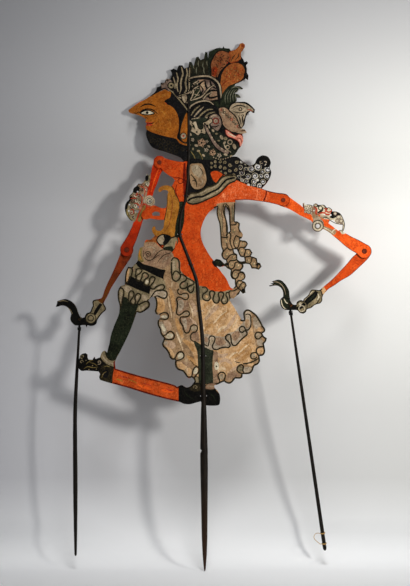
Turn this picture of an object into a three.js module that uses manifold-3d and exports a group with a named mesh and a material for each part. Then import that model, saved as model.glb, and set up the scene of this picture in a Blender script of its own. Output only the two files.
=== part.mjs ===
// Shadow puppet of painted rawhide: a flat figure sheet held in a split horn rod, with two jointed
// arms that are worked by two thin rods.
// Millimetres, +Z up. The origin is the point of the main rod and the front of the figure faces -Y.

import * as THREE from 'three';
import { mergeVertices } from 'three/addons/utils/BufferGeometryUtils.js';
import Module from 'manifold-3d';

const wasm = await Module();
wasm.setup();

// Driving dimensions

const gripLength = 207; // main rod from its point up to the sole of the figure
const figureHeight = 453; // sole to crown tip
const hide = 1.6; // thickness of every piece of hide
const play = 0.3; // gap between pieces that touch or turn on each other
const elbowPlay = 0.6; // gap between upper arm and forearm, wide enough for the rod's lashings
const tineDepth = 1.2; // thickness of each half of the split rod beside the hide
const pinRadius = 1.2;
const shoulderHeadRadius = 2.7;
const shoulderHeadHeight = 0.8;
const elbowHeadRadius = 2.4;
const elbowHeadHeight = 0.6;
const pinEndRadius = 1.9;
const pinEndHeight = 0.5;
const washerRadius = 3.4;
const washerHeight = 0.6;
const lashingRadius = 0.25; // thread that binds the split rod to the sheet
const handThreadRadius = 0.35; // thread that carries an arm rod
const handKnotRadius = 0.95;
const handKnotHeight = 0.6;
const eyeRadius = 2.5; // loop of that thread behind the palm
const leftRodRadii = [1.35, 1.7, 2.1, 2.5, 2.75, 2.85, 2.8, 2.3, 1.5]; // at equal steps from its top
const rightRodRadii = [1.35, 1.65, 1.9, 2.05, 2.15, 2.2, 2.3, 2.4, 2.4];
// Degrees that each hanging arm rod leans back from the figure, so that the two can cross
const leftRodLean = 0.5;
const rightRodLean = 4.3;
const leftArmRodLength = 297;
const rightArmRodLength = 316.5;
const bindingHeight = 4;
const leftBindingThread = 0.45;
const rightBindingThread = 0.7;
const strawRadius = 0.4; // straw-coloured thread at the foot of the right arm rod

// The outlines below are drawn for a figure of this height and follow the figure's height.
const drawnHeight = 453;
const scale = figureHeight / drawnHeight;
const scaled = (points) => points.map(([x, z]) => [x * scale, z * scale]);
const place = (x, z) => new THREE.Vector2(x, z).multiplyScalar(scale);

// Places on the figure, counted from its sole above the rod, and along each arm
const leftShoulder = place(-56.5, 303.9);
const rightShoulder = place(98.1, 256.7);
const leftElbow = place(-41.2, -109.6);
const rightElbow = place(101.5, -64);
const leftPalm = place(-59.2, -86.9);
const rightPalm = place(-93.4, -66);

// Layers from front to back
const sheetFront = -hide / 2;
const sheetBack = hide / 2;
const upperArmFront = sheetBack + play;
const upperArmBack = upperArmFront + hide;
const forearmFront = upperArmBack + elbowPlay;
const forearmBack = forearmFront + hide;
const eyeDepth = forearmBack + play + handThreadRadius + eyeRadius;

// Materials

const material = (color, roughness, metalness = 0) =>
  new THREE.MeshStandardMaterial({ color, roughness, metalness });
const paintedHide = material(0xc8743a, 0.6);
const orangeHide = material(0xe2551f, 0.6);
const horn = material(0x231c16, 0.35);
const blackThread = material(0x1d1a17, 0.9);
const strawThread = material(0xc9a35f, 0.8);
const washerHide = material(0x8a5a33, 0.75);

// Helpers

const degrees = (angle) => THREE.MathUtils.degToRad(angle);

function arc(centre, radius, from, to, steps = 10) {
  return Array.from({ length: steps + 1 }, (_, k) => {
    const angle = degrees(from + ((to - from) * k) / steps);
    return [centre[0] + radius * Math.cos(angle), centre[1] + radius * Math.sin(angle)];
  });
}

// The outline's points run clockwise and those of its openings the other way
function turned(points, clockwise) {
  const path = points.map(([x, z]) => new THREE.Vector2(x, z));
  return THREE.ShapeUtils.isClockWise(path) === clockwise ? path : path.reverse();
}

// A flat piece of hide with its front face at the given depth
function hideSheet(outline, openings, roundHoles, front) {
  const shape = new THREE.Shape(turned(outline, true));
  for (const opening of openings) shape.holes.push(new THREE.Path(turned(opening, false)));
  for (const [x, z, radius] of roundHoles) {
    const sides = radius < pinRadius ? 8 : 16;
    shape.holes.push(new THREE.Path(turned(arc([x, z], radius, 0, 360 - 360 / sides, sides - 1), false)));
  }
  const sheet = new THREE.ExtrudeGeometry(shape, { depth: hide, bevelEnabled: false });
  return sheet.rotateX(Math.PI / 2).translate(0, front + hide, 0);
}

function toSolid(geometry) {
  const bare = geometry.clone();
  bare.deleteAttribute('normal');
  bare.deleteAttribute('uv');
  const welded = mergeVertices(bare, 1e-4);
  const mesh = new wasm.Mesh({
    numProp: 3,
    vertProperties: new Float32Array(welded.attributes.position.array),
    triVerts: new Uint32Array(welded.index.array),
  });
  return new wasm.Manifold(mesh);
}

function toGeometry(solid) {
  const { vertProperties, triVerts } = solid.getMesh();
  const geometry = new THREE.BufferGeometry();
  geometry.setAttribute('position', new THREE.BufferAttribute(vertProperties, 3));
  geometry.setIndex(new THREE.BufferAttribute(triVerts, 1));
  return geometry;
}

const cut = (geometry, ...tools) =>
  toGeometry(tools.reduce((rest, tool) => rest.subtract(toSolid(tool)), toSolid(geometry)));
const join = (geometry, ...others) =>
  toGeometry(others.reduce((whole, other) => whole.add(toSolid(other)), toSolid(geometry)));

// A disc or plug along Y
function plug(x, z, radius, from, to, sides = 20) {
  return new THREE.CylinderGeometry(radius, radius, to - from, sides).translate(x, (from + to) / 2, z);
}

// A closed solid through elliptical rings, each with its centre, its two axes and its half widths
function loft(rings, sides) {
  const positions = [];
  const faces = [];
  for (const { centre, across, along, half } of rings) {
    for (let k = 0; k < sides; k++) {
      const angle = (2 * Math.PI * k) / sides;
      const point = centre.clone();
      point.addScaledVector(across, half[0] * Math.cos(angle));
      point.addScaledVector(along, half[1] * Math.sin(angle));
      positions.push(...point.toArray());
    }
  }
  const first = rings.length * sides;
  positions.push(...rings[0].centre.toArray(), ...rings.at(-1).centre.toArray());
  for (let r = 0; r + 1 < rings.length; r++) {
    for (let k = 0; k < sides; k++) {
      const [a, b] = [r * sides + k, r * sides + ((k + 1) % sides)];
      faces.push(a, b, b + sides, a, b + sides, a + sides);
    }
  }
  const top = (rings.length - 1) * sides;
  for (let k = 0; k < sides; k++) {
    const next = (k + 1) % sides;
    faces.push(first, next, k, first + 1, top + k, top + next);
  }
  const geometry = new THREE.BufferGeometry();
  geometry.setAttribute('position', new THREE.Float32BufferAttribute(positions, 3));
  geometry.setIndex(faces);
  return geometry;
}

// Linear reading of a table of [position, value] pairs in rising order
function reading(table, position) {
  const next = table.findIndex(([at]) => at >= position);
  if (next < 0) return table.at(-1)[1];
  if (next === 0) return table[0][1];
  const [[a, low], [b, high]] = [table[next - 1], table[next]];
  return low + ((high - low) * (position - a)) / (b - a);
}

function piece(name, geometry, look) {
  const mesh = new THREE.Mesh(geometry, look);
  mesh.name = name;
  return mesh;
}

// Main rod of horn, split from just below the sole to its top

const tipRadius = 0.5;
const crossing = 2; // how far the slot runs below the sole of the sheet
const rodTop = place(-20.4, 381.7);
// Centreline beside the figure, from the sole up, in the figure's drawn measure
const rodLine = [
  [-1.4, 0], [-2, 42], [-2.3, 69], [-3.5, 90], [-5.3, 107], [-8.1, 131.5], [-10.3, 155.4],
  [-18.9, 180], [-26, 198.4], [-31, 212.6], [-31, 227], [-28.9, 241.2], [-23.9, 258.4],
  [-21, 285.6], [-19.8, 326.3],
];
// Width above the sole, and of the round grip from its point up
const tineWidth = [[0, 6.6], [20, 6], [55, 5.6], [170, 5], [230, 4.2], [320, 3.6], [390, 3]];
const gripWidth = [
  [0, 2 * tipRadius], [3, 2.4], [20, 5.3], [41, 7.1], [85, 8.3], [126, 9.5], [156, 9.5], [177, 8.3], [207, 6.6],
];
const notch = { at: 150.6, deep: 2, high: 3.5 }; // nick in the left side of the grip
const thickTine = 2.2; // depth of each half at the sole, where the arms never pass
const thickUpTo = 60; // above this the halves have their thin depth

function rodRing(x, z, width, depth) {
  return {
    centre: new THREE.Vector3(x, 0, z),
    across: new THREE.Vector3(1, 0, 0),
    along: new THREE.Vector3(0, 1, 0),
    half: [width / 2, depth / 2],
  };
}

function tineHalfDepth(height) {
  const share = Math.min(height / thickUpTo, 1);
  return sheetBack + play + thickTine + (tineDepth - thickTine) * share;
}

const rodCurve = new THREE.SplineCurve(
  [...scaled(rodLine), rodTop.toArray()].map(([x, z]) => new THREE.Vector2(x, z)),
);
const rodPoints = rodCurve.getPoints(28);

function rodCentre(height) {
  return reading(rodPoints.map((point) => [point.y, point.x]), height);
}

function mainRod() {
  const rings = [];
  const gripSteps = [0, 3, 10, 20, 41, 62, 85, 105, 126, 140];
  const { at, deep, high } = notch;
  for (const z of gripSteps) {
    const width = reading(gripWidth, z);
    rings.push(rodRing((rodPoints[0].x * z) / gripLength, z, width, width));
  }
  for (const [z, depth] of [[at - high, 0], [at, deep], [at + high / 2, 0]]) {
    const width = reading(gripWidth, z);
    rings.push(rodRing((rodPoints[0].x * z) / gripLength + depth / 2, z, width - depth, width));
  }
  for (const z of [165, 177, 192]) {
    const width = reading(gripWidth, z);
    rings.push(rodRing((rodPoints[0].x * z) / gripLength, z, width, width));
  }
  for (const { x, y } of rodPoints) {
    rings.push(rodRing(x, gripLength + y, reading(tineWidth, y / scale), 2 * tineHalfDepth(y)));
  }
  const slotBottom = gripLength - crossing;
  const slotTop = gripLength + figureHeight;
  const slot = new THREE.BoxGeometry(figureHeight, hide + 2 * play, slotTop - slotBottom);
  slot.translate(0, 0, (slotTop + slotBottom) / 2);
  return cut(loft(rings, 14), slot);
}

// Lashings: thread rings round both halves of the rod, through two small holes in the sheet
const lashingHeights = [12, 62, 118, 176, 214, 262, 318, 366].map((height) => height * scale);

function lashing(height) {
  const x = rodCentre(height);
  const halfWidth = reading(tineWidth, height / scale) / 2 + play + lashingRadius;
  const halfDepth = tineHalfDepth(height) + play + lashingRadius;
  return { x, height, halfWidth, halfDepth };
}

const lashings = lashingHeights.map(lashing);

function threadRing({ x, height, halfWidth, halfDepth }) {
  const steps = 16;
  const sides = 5;
  const positions = [];
  const faces = [];
  for (let s = 0; s < steps; s++) {
    const angle = (2 * Math.PI * s) / steps;
    const out = new THREE.Vector2(Math.cos(angle) / halfWidth, Math.sin(angle) / halfDepth).normalize();
    for (let k = 0; k < sides; k++) {
      const turn = (2 * Math.PI * k) / sides;
      const reach = lashingRadius * Math.cos(turn);
      positions.push(
        x + halfWidth * Math.cos(angle) + reach * out.x,
        halfDepth * Math.sin(angle) + reach * out.y,
        gripLength + height + lashingRadius * Math.sin(turn),
      );
      const [a, b] = [s * sides + k, s * sides + ((k + 1) % sides)];
      const step = ((s + 1) % steps) * sides - s * sides;
      faces.push(a, a + step, b + step, a, b + step, b);
    }
  }
  const geometry = new THREE.BufferGeometry();
  geometry.setAttribute('position', new THREE.Float32BufferAttribute(positions, 3));
  geometry.setIndex(faces);
  return geometry;
}

const lashingHoleRadius = lashingRadius + play + 0.15; // with room for the bend of the thread
const lashingHoles = lashings.flatMap(({ x, height, halfWidth }) => [
  [x - halfWidth, height, lashingHoleRadius],
  [x + halfWidth, height, lashingHoleRadius],
]);

// Figure sheet: outline clockwise from the nose, counted from the sole

const rightShoulderRound = 8.2;
const leftShoulderRound = 7.2;

const crownAndBack = [
  [-95.5, 369], [-89, 374], [-81.5, 379], [-73.5, 383], [-66.5, 388], [-61.5, 392.5], [-60, 397.5],
  [-55.5, 399], [-55, 403], [-50.5, 403.5], [-48.5, 408], [-42.5, 408.5], [-41, 414], [-43, 419],
  [-39, 421], [-35, 419], [-32.5, 425], [-28, 425], [-25.5, 421], [-20.5, 423], [-19.5, 429.5],
  [-16.5, 429], [-14, 424], [-11, 435], [-8, 436], [-5.5, 431.5], [-1, 433.5], [0.5, 442], [3, 441],
  [4, 434], [5.5, 442], [10, 444], [15, 446.5], [22, 446.5], [23.5, 449], [24.5, 446.5], [31, 446],
  [32.5, 443], [38.5, 445], [42, 448.5], [44, 452], [47.5, 453], [50, 451], [50, 448], [47.5, 444],
  [45.5, 441], [45.5, 436], [48, 432.5], [49.5, 429], [52.5, 430], [54, 428], [51.5, 425],
  [52.5, 420.5], [52.5, 416], [54.5, 412.5], [54, 406.5], [51, 408.5], [46, 405], [38.5, 401.5],
  [37, 399], [43.5, 399], [48, 396], [46, 395], [42, 396], [41, 392.5], [37, 390], [42, 388.5],
  [45, 385], [43.5, 384.5], [39.5, 385], [40, 381], [38, 379], [44, 379.5], [51.5, 379], [57.5, 375],
  [62.5, 370], [62, 365.5], [59.5, 366], [57.5, 368], [54, 365], [51, 359], [49.5, 351], [46, 346],
  [49.5, 345], [52.5, 341], [47, 339.5], [48, 331.5], [45.5, 324.5], [42.5, 321], [37.5, 313.5],
  [32.5, 311], [41, 310.5], [48.5, 304], [56, 299.5], [62, 302], [65.5, 308.5], [72, 312.5],
  [79, 310.5], [82.5, 303.5], [81, 297.5], [83, 292], [82, 286], [77.5, 278], [71, 271], [76.5, 269],
  [89, 266], [98, 265],
];
const ribbonsAndSkirt = [
  [97.5, 249], [82.5, 253], [66.5, 255.5], [51.5, 257], [38.5, 256.5], [38, 247], [37.5, 237],
  [37.5, 230], [40.5, 230], [44, 227.5], [43.5, 220.5], [47.5, 213.5], [46, 209], [43.5, 208],
  [45, 206.5], [51.5, 205.5], [54, 202], [51.5, 197.5], [49.5, 196], [56.5, 195.5], [59.5, 191],
  [57.5, 186.5], [60, 186], [65, 184], [66, 178.5], [69, 178], [71, 173.5], [67.5, 169.5], [62.5, 171],
  [58.5, 171], [56, 176], [52, 177], [48, 176.5], [48.5, 173.5], [46.5, 170], [44.5, 168], [48.5, 167],
  [51, 162], [49.5, 157.5], [46.5, 156], [50.5, 154], [52.5, 150], [50.5, 146], [51, 141],
  [47.5, 139.5], [44.5, 143], [42.5, 139], [39.5, 137], [36, 133.5], [32.5, 134], [31, 131],
  [36.5, 123], [43.5, 111], [46, 107], [49, 107], [48, 115.5], [51, 119.5], [55, 120], [59.5, 117.5],
  [65, 113], [69.5, 106], [72.5, 100], [75.5, 95.5], [75, 92], [72, 90], [73.5, 87], [77.5, 84],
  [76.5, 80], [74, 77], [75, 72], [75.5, 67], [73, 62.5], [68.5, 61.5], [69, 55], [66, 51], [62, 49],
  [60, 43.5], [57, 40], [51.5, 39], [47.5, 39], [47, 35], [44, 33.5], [38, 33.5], [34.5, 29], [31, 27],
  [26.5, 28], [24, 29.5], [21, 28.5], [17, 26.5], [12, 25],
];
const rearBoot = [
  [12, 22.5], [16.5, 17.5], [19, 12], [18.5, 2], [16, 0], [2.5, 0], [-1.5, 2], [-5.5, 5], [-11, 3.5],
  [-18.5, 1.5], [-26, 2], [-30.5, 4],
];
const stripUnderside = [
  [-50, 8.5], [-73.5, 15], [-96, 22], [-116, 27.5],
];
const frontFoot = [
  [-123.5, 29.5], [-131, 32], [-132, 35.5], [-131, 39.5], [-133, 42.5], [-140, 43], [-148.5, 43.5],
  [-153.5, 43], [-156.5, 45], [-159, 48.5], [-159, 55.5], [-156.5, 59], [-156, 62], [-153, 64.5],
  [-149, 65.5], [-146.5, 63.5], [-146.5, 60], [-145.5, 57.5], [-140.5, 57], [-138, 61], [-136.5, 58],
  [-131, 60], [-130, 63], [-128, 67], [-125, 68.5], [-122, 66],
];
const frontLeg = [
  [-121, 70.5], [-119, 78], [-117.5, 87], [-113.5, 99], [-107.5, 114], [-106.5, 124], [-108.5, 132],
  [-109, 140.5], [-107.5, 146], [-105, 149], [-100, 151], [-100, 158], [-98.5, 168], [-96, 173.5],
  [-91.5, 173], [-86.5, 177.5], [-84, 180.5], [-83.5, 188], [-81, 197], [-76.5, 199], [-75.5, 203.5],
  [-73.5, 207], [-67.5, 207.5], [-62.5, 212],
];
const chestOrnament = [
  [-65.5, 217], [-66, 221], [-64, 224], [-62, 223.5], [-61.5, 220], [-59, 218.5], [-55.5, 218],
  [-52, 221.5], [-51, 227.5], [-50.5, 232], [-57.5, 232], [-68.5, 233.5], [-73, 232.5], [-76.5, 232.5],
  [-79.5, 237], [-77.5, 242], [-73, 246], [-68, 249], [-63, 250], [-58, 248], [-53.5, 246.5],
  [-48.5, 247], [-47.5, 253], [-47, 262], [-45.5, 267], [-48, 269], [-52.5, 269.5], [-54.5, 267.5],
  [-56.5, 266.5], [-58.5, 269], [-56.5, 272.5], [-52.5, 274.5], [-46, 275], [-42, 273.5],
];
const chestPanel = [
  [-40, 276], [-37.5, 281.5], [-39.5, 284], [-45.5, 288], [-51.5, 292.5],
];
const neckAndFace = [
  [-52.5, 310], [-43.5, 307], [-33.5, 305], [-25.5, 304], [-31, 310], [-41, 314], [-51, 317.5],
  [-60, 320], [-66.5, 323.5], [-71.5, 332], [-73.5, 339], [-73, 344], [-74, 348], [-72.5, 352],
  [-74.5, 354.5], [-73, 357.5], [-77, 360], [-81, 362], [-87, 364], [-92, 365], [-95, 366.5],
];

const figureOutline = [
  ...crownAndBack,
  ...arc([98.1, 256.7], rightShoulderRound, 88, -88),
  ...ribbonsAndSkirt,
  ...rearBoot,
  ...stripUnderside,
  ...frontFoot,
  ...frontLeg,
  ...chestOrnament,
  ...chestPanel,
  ...arc([-56.5, 303.9], leftShoulderRound, -75, -275),
  ...neckAndFace,
];

const betweenRibbons = [
  [26, 249], [29.5, 242], [30.5, 229], [31.5, 218], [29, 216], [29, 224], [27, 233], [25.5, 240.5],
];
const betweenRibbonLobes = [
  [36, 195], [40, 195], [42, 190.5], [44.5, 186], [49, 185], [50, 180.5], [44.5, 180], [41, 182.5],
  [40.5, 188.5], [37, 191],
];
const besideTorso = [
  [16, 248.5], [7.5, 243.5], [2, 237], [-2.5, 228], [-5, 218], [-4, 207], [1, 196], [7, 186],
  [11.5, 180.5], [14, 183], [19, 182], [24.5, 177], [27, 178.5], [26.5, 181.5], [23, 183],
  [20.5, 188.5], [22, 193.5], [20.5, 198], [19.5, 207], [19, 217], [18, 227], [15.5, 235.5],
  [14.5, 243],
];
const belowLeaf = [
  [14.5, 174.5], [19, 173], [25, 174], [28, 171.5], [32.5, 169], [32, 163], [34, 158.5], [37.5, 157],
  [37.5, 152], [38, 149], [35, 146], [32, 147.5], [27, 158], [20, 167.5],
];
const betweenLegs = [
  [-112, 55], [-105, 69], [-93.5, 93], [-85, 116.5], [-80.5, 115.5], [-74, 118.5], [-69, 123],
  [-68.5, 128], [-70.5, 131], [-67, 135], [-64, 136], [-62, 133], [-61, 127.5], [-61.5, 122],
  [-62.5, 117.5], [-60.5, 114], [-56.5, 113], [-55.5, 110.5], [-57, 108], [-59, 105.5], [-59, 100.5],
  [-56.5, 95], [-55.5, 90], [-53.5, 86.5], [-51, 84], [-52, 81.5], [-53.5, 77.5], [-52.5, 73.5],
  [-48.5, 69.5], [-45.5, 64.5], [-44, 60], [-40.5, 57], [-37, 57], [-37.5, 52.5], [-36.5, 47.5],
  [-33, 44], [-28, 42.5], [-25, 39], [-22.5, 35.5], [-19, 34], [-16.5, 35], [-14, 33], [-13, 30],
  [-15, 27], [-18.5, 23.5], [-23, 22.5], [-26, 24], [-29, 25.5], [-32, 24.5], [-34.5, 23], [-38, 25.5],
  [-56, 30.5], [-85, 38], [-111.5, 46],
];
const chestSlit = [
  [-66, 240], [-63, 242], [-58.5, 242], [-56, 240], [-56.5, 237], [-65, 237],
];

const figureOpenings = [betweenRibbons, betweenRibbonLobes, besideTorso, belowLeaf, betweenLegs, chestSlit];
const pinHoleRadius = pinRadius + play;

function figureSheet() {
  const sheet = hideSheet(
    scaled(figureOutline),
    figureOpenings.map(scaled),
    [[...leftShoulder, pinHoleRadius], [...rightShoulder, pinHoleRadius], ...lashingHoles],
    sheetFront,
  );
  return sheet.translate(0, 0, gripLength);
}

// Arms: each outline is counted from the pin at its upper end

const armRound = 8.2; // round ends of the upper arms and forearms at their pins
const rightArmRound = 9;
const armletRing = 6.4; // little ring of the left armlet, and its eye
const armletRingCentre = [-12.1, -49];
const armletRingEye = 1.5;
const rightArmletRing = 7.2;
const rightArmletRingCentre = [43.2, -32.4];
const rightArmletRingEye = 2.6;

const leftUpperArmOuter = [
  [-8, -1.5], [-9.5, -7], [-11, -14], [-14, -16.5], [-15.5, -14.5], [-17.5, -17], [-19, -23],
  [-22.5, -27], [-26.5, -26.5], [-29, -29.5], [-32.5, -32.5], [-34, -38], [-37.5, -41.5], [-38, -46.5],
  [-41.5, -50], [-43.5, -56], [-42.5, -63], [-39.5, -69], [-35.5, -73], [-32, -73], [-34.5, -80],
  [-40, -91.5], [-49, -106],
];
const leftUpperArmInner = [
  [-33, -106.5], [-29, -97], [-24.5, -84], [-20, -70], [-15.5, -58.5],
];
const leftUpperArmTop = [
  [-9, -43], [-7, -35.5], [-3, -26], [1.5, -14], [7.5, -5],
];
const leftUpperArmOutline = [
  ...leftUpperArmOuter,
  ...arc([-41.2, -109.6], armRound, 165, 340),
  ...leftUpperArmInner,
  ...arc(armletRingCentre, armletRing, -95, 60),
  ...leftUpperArmTop,
  ...arc([0, 0], armRound, -20, 150),
];

const leftForearmEdge = [
  [-12, -15], [-19, -31], [-24.5, -42.5], [-28, -51], [-31, -59.5], [-34, -61], [-39, -62], [-42, -63],
  [-43, -65.5], [-42.5, -69.5], [-44, -73], [-46, -77.5], [-50, -79], [-52, -82], [-52.5, -84],
  [-55.5, -85], [-58.5, -83], [-60.5, -79], [-62.5, -73], [-65, -68.5], [-69, -64.5], [-74, -62],
  [-78, -61.5], [-82.5, -62.5], [-87, -64], [-87.5, -67.5], [-89, -71], [-86.5, -71], [-82, -69.5],
  [-77.5, -70], [-74, -72], [-71, -76], [-69.5, -80], [-70.5, -84], [-70.5, -87.5], [-68.5, -91],
  [-65, -94], [-60.5, -94.5], [-55.5, -94], [-51.5, -94], [-50.5, -97], [-49, -94], [-45.5, -95],
  [-41.5, -94.5], [-38, -92], [-37, -88], [-34.5, -84], [-30.5, -79], [-26.5, -75.5], [-26, -72.5],
  [-29, -67], [-27, -62.5], [-25, -59], [-22.5, -54], [-19.5, -47.5], [-14.5, -39.5], [-8, -29.5],
  [-0.5, -18], [6, -8],
];
const leftForearmOutline = [...leftForearmEdge, ...arc([0, 0], armRound, -35, 200)];

const rightUpperArmTop = [
  [5.5, 5.5], [12, 0.5], [21, -6], [24.5, -9], [24.5, -4], [26.5, -3], [26.5, -6], [29.5, -5.5],
  [34.5, -6], [37.5, -7.5], [38, -5], [41, -4], [44, -6], [46.5, -6], [51, -6], [54.5, -9.5],
  [57.5, -9], [61, -12], [61, -14], [67, -14.5], [71.5, -17], [75, -23], [77, -29.5], [76.5, -35],
  [74.5, -40], [78, -41.5], [86, -46], [94.5, -50], [103.5, -55],
];
const rightUpperArmUnder = [
  [92, -67], [84.5, -62.5], [77, -57], [68.5, -49.5], [63.5, -45.5], [57, -40], [51, -36.5],
];
const rightUpperArmStart = [
  [36, -28], [35, -26], [28.5, -22.5], [21, -19], [13.5, -14.5], [6, -10.5],
];
const rightUpperArmOutline = [
  ...rightUpperArmTop,
  ...arc([101.5, -64], rightArmRound, 70, -120),
  ...rightUpperArmUnder,
  ...arc(rightArmletRingCentre, rightArmletRing, -30, -210),
  ...rightUpperArmStart,
  ...arc([0, 0], armRound, -125, -300),
];
const underFeatherArc = [
  [58, -25.5], [66, -29.5], [74.5, -31], [74, -37], [69, -37.5], [62, -33], [56.5, -29],
];

const rightForearmEdge = [
  [7, -6], [2.5, -11.5], [-8, -21.5], [-17.5, -30], [-29.5, -37], [-38, -43], [-44.5, -47],
  [-48.5, -51], [-51, -54], [-52.5, -58], [-52.5, -61.5], [-55, -65], [-60, -66.5], [-63, -68],
  [-66.5, -71], [-70, -72], [-72, -73], [-73, -76], [-76.5, -78], [-80.5, -77], [-83.5, -74],
  [-88, -73.5], [-97, -73.5], [-101.5, -72], [-104.5, -68], [-105.5, -63], [-104.5, -59.5],
  [-101.5, -57], [-101.5, -52], [-102.5, -48.5], [-105, -45], [-109, -43], [-112.5, -43],
  [-118.5, -44], [-119, -42.5], [-114, -42], [-117.5, -40.5], [-113, -39.5], [-116, -38],
  [-112, -36.5], [-107.5, -35.5], [-103, -37], [-99, -41], [-96, -45.5], [-94, -50.5], [-93.5, -56.5],
  [-92, -63], [-89, -66.5], [-85, -67], [-84.5, -64], [-82.5, -62], [-79, -61], [-76.5, -62],
  [-75.5, -59.5], [-72.5, -57], [-69.5, -54], [-68, -50.5], [-65.5, -48], [-61, -48], [-56, -48.5],
  [-54, -47], [-50.5, -44], [-44.5, -39], [-38, -33], [-30, -24.5], [-22, -16], [-14.5, -7], [-9, -2],
];
const rightForearmOutline = [...rightForearmEdge, ...arc([0, 0], armRound, 165, -30)];

// An upper arm has a plain hole at the shoulder and a sunk seat for the flush head of the elbow pin
function upperArm(outline, openings, ringCentre, ringEye, elbow) {
  const [ringX, ringZ] = place(...ringCentre);
  const sheet = hideSheet(
    scaled(outline),
    openings.map(scaled),
    [[0, 0, pinHoleRadius], [elbow.x, elbow.y, pinHoleRadius], [ringX, ringZ, ringEye * scale]],
    upperArmFront,
  );
  const seatDepth = upperArmFront + elbowHeadHeight + play;
  return cut(sheet, plug(elbow.x, elbow.y, elbowHeadRadius + play, upperArmFront - 1, seatDepth));
}

// A forearm has its elbow hole and a sunk hole in the palm for the thread's flush knot
function forearm(outline, palm) {
  const palmHole = [palm.x, palm.y, handThreadRadius + play];
  const sheet = hideSheet(scaled(outline), [], [[0, 0, pinHoleRadius], palmHole], forearmFront);
  const seatDepth = forearmFront + handKnotHeight + play;
  return cut(sheet, plug(palm.x, palm.y, handKnotRadius + play, forearmFront - 1, seatDepth));
}

// Pins and washers, turned about Y

function pin(headRadius, headFront, headBack, washerFront) {
  const endFront = washerFront + washerHeight + play;
  const profile = [
    [0, headFront], [0.55 * headRadius, headFront], [headRadius, headFront + 0.3 * (headBack - headFront)],
    [headRadius, headBack], [pinRadius, headBack], [pinRadius, endFront], [pinEndRadius, endFront],
    [pinEndRadius, endFront + 0.6 * pinEndHeight], [0.6 * pinEndRadius, endFront + pinEndHeight],
    [0, endFront + pinEndHeight],
  ];
  return new THREE.LatheGeometry(profile.map(([r, y]) => new THREE.Vector2(r, y)), 16);
}

function washer(front) {
  const bore = pinRadius + play;
  const back = front + washerHeight;
  const profile = [[bore, front], [washerRadius, front], [washerRadius, back], [bore, back], [bore, front]];
  return new THREE.LatheGeometry(profile.map(([r, y]) => new THREE.Vector2(r, y)), 16);
}

const shoulderPin = () =>
  pin(shoulderHeadRadius, sheetFront - play - shoulderHeadHeight, sheetFront - play, upperArmBack + play);
const elbowPin = () =>
  pin(elbowHeadRadius, upperArmFront, upperArmFront + elbowHeadHeight, forearmBack + play);

// Hand ties: a flush knot in the palm, a stem through the hide and an eye behind it

function eye(radius) {
  return new THREE.TorusGeometry(eyeRadius, radius, 6, 20).rotateY(Math.PI / 2);
}

function handTie() {
  const knot = plug(0, 0, handKnotRadius, forearmFront, forearmFront + handKnotHeight, 12);
  const stem = plug(0, 0, handThreadRadius, forearmFront + handKnotHeight / 2, eyeDepth - eyeRadius, 8);
  return join(knot, stem, eye(handThreadRadius).translate(0, eyeDepth, 0));
}

// Arm rods: each hangs from its eye, which is the origin of this frame, down local -Z

const rodHead = 1.6; // rod above the middle of its cross hole
const leftBow = [[-1.2, 0.08], [-4.9, 0.31], [-5.9, 0.42], [-5.6, 0.68]]; // sideways bow and share of length
const rightBow = [[0, 0.33], [0, 0.66]];

const leftArmRod = { length: leftArmRodLength, bow: leftBow, foot: -5.3, radii: leftRodRadii };
const rightArmRod = { length: rightArmRodLength, bow: rightBow, foot: 0, radii: rightRodRadii };

function armRodCurve({ length, bow, foot }) {
  return new THREE.CatmullRomCurve3([
    new THREE.Vector3(0, 0, -eyeRadius + rodHead),
    ...bow.map(([x, share]) => new THREE.Vector3(x, 0, -length * share)),
    new THREE.Vector3(foot, 0, -length),
  ]);
}

function armRodRadius({ radii }, share) {
  return reading(radii.map((radius, k) => [k / (radii.length - 1), radius]), share);
}

function armRod(rod) {
  const steps = 16;
  const end = 0.985; // where the foot starts to round off
  const curve = armRodCurve(rod);
  const ring = (share, radius) => ({
    centre: curve.getPointAt(share),
    across: new THREE.Vector3(0, 1, 0),
    along: new THREE.Vector3(1, 0, 0),
    half: [radius, radius],
  });
  const rings = [ring(0, 0.7 * rod.radii[0]), ring(0.003, rod.radii[0])];
  for (let k = 1; k <= steps; k++) {
    rings.push(ring((end * k) / steps, armRodRadius(rod, (end * k) / steps)));
  }
  rings.push(ring(1, 0.55 * rod.radii.at(-1)));
  return cut(loft(rings, 10), eye(handThreadRadius + play));
}

// Turns of thread wound round a rod, as one ridged collar
function winding(inner, thread, turns) {
  const profile = [[inner, 0]];
  for (let turn = 0; turn < turns; turn++) {
    for (const angle of [-60, 0, 60]) {
      const outward = thread + thread * Math.cos(degrees(angle));
      profile.push([inner + outward, (2 * turn + 1 + Math.sin(degrees(angle))) * thread]);
    }
  }
  profile.push([inner, 2 * turns * thread], [inner, 0]);
  return new THREE.LatheGeometry(profile.map(([r, z]) => new THREE.Vector2(r, z)), 12).rotateX(Math.PI / 2);
}

function collar(rod, distance, thread, height) {
  const share = distance / rod.length;
  const curve = armRodCurve(rod);
  const inner = armRodRadius(rod, share) + play;
  const turns = Math.max(1, Math.round(height / (2 * thread)));
  const { x, z } = curve.getPointAt(share);
  return winding(inner, thread, turns).translate(x, 0, z - turns * thread);
}

// The straw thread: two turns at each end of a small loop that stands out from the rod

const wrapHeight = 1.7;
const upperWrap = rightArmRodLength - 22.5; // distances down the right arm rod
const lowerWrap = rightArmRodLength - 9;

function threadWrap(distance) {
  return collar(rightArmRod, distance, strawRadius, wrapHeight);
}

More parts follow.
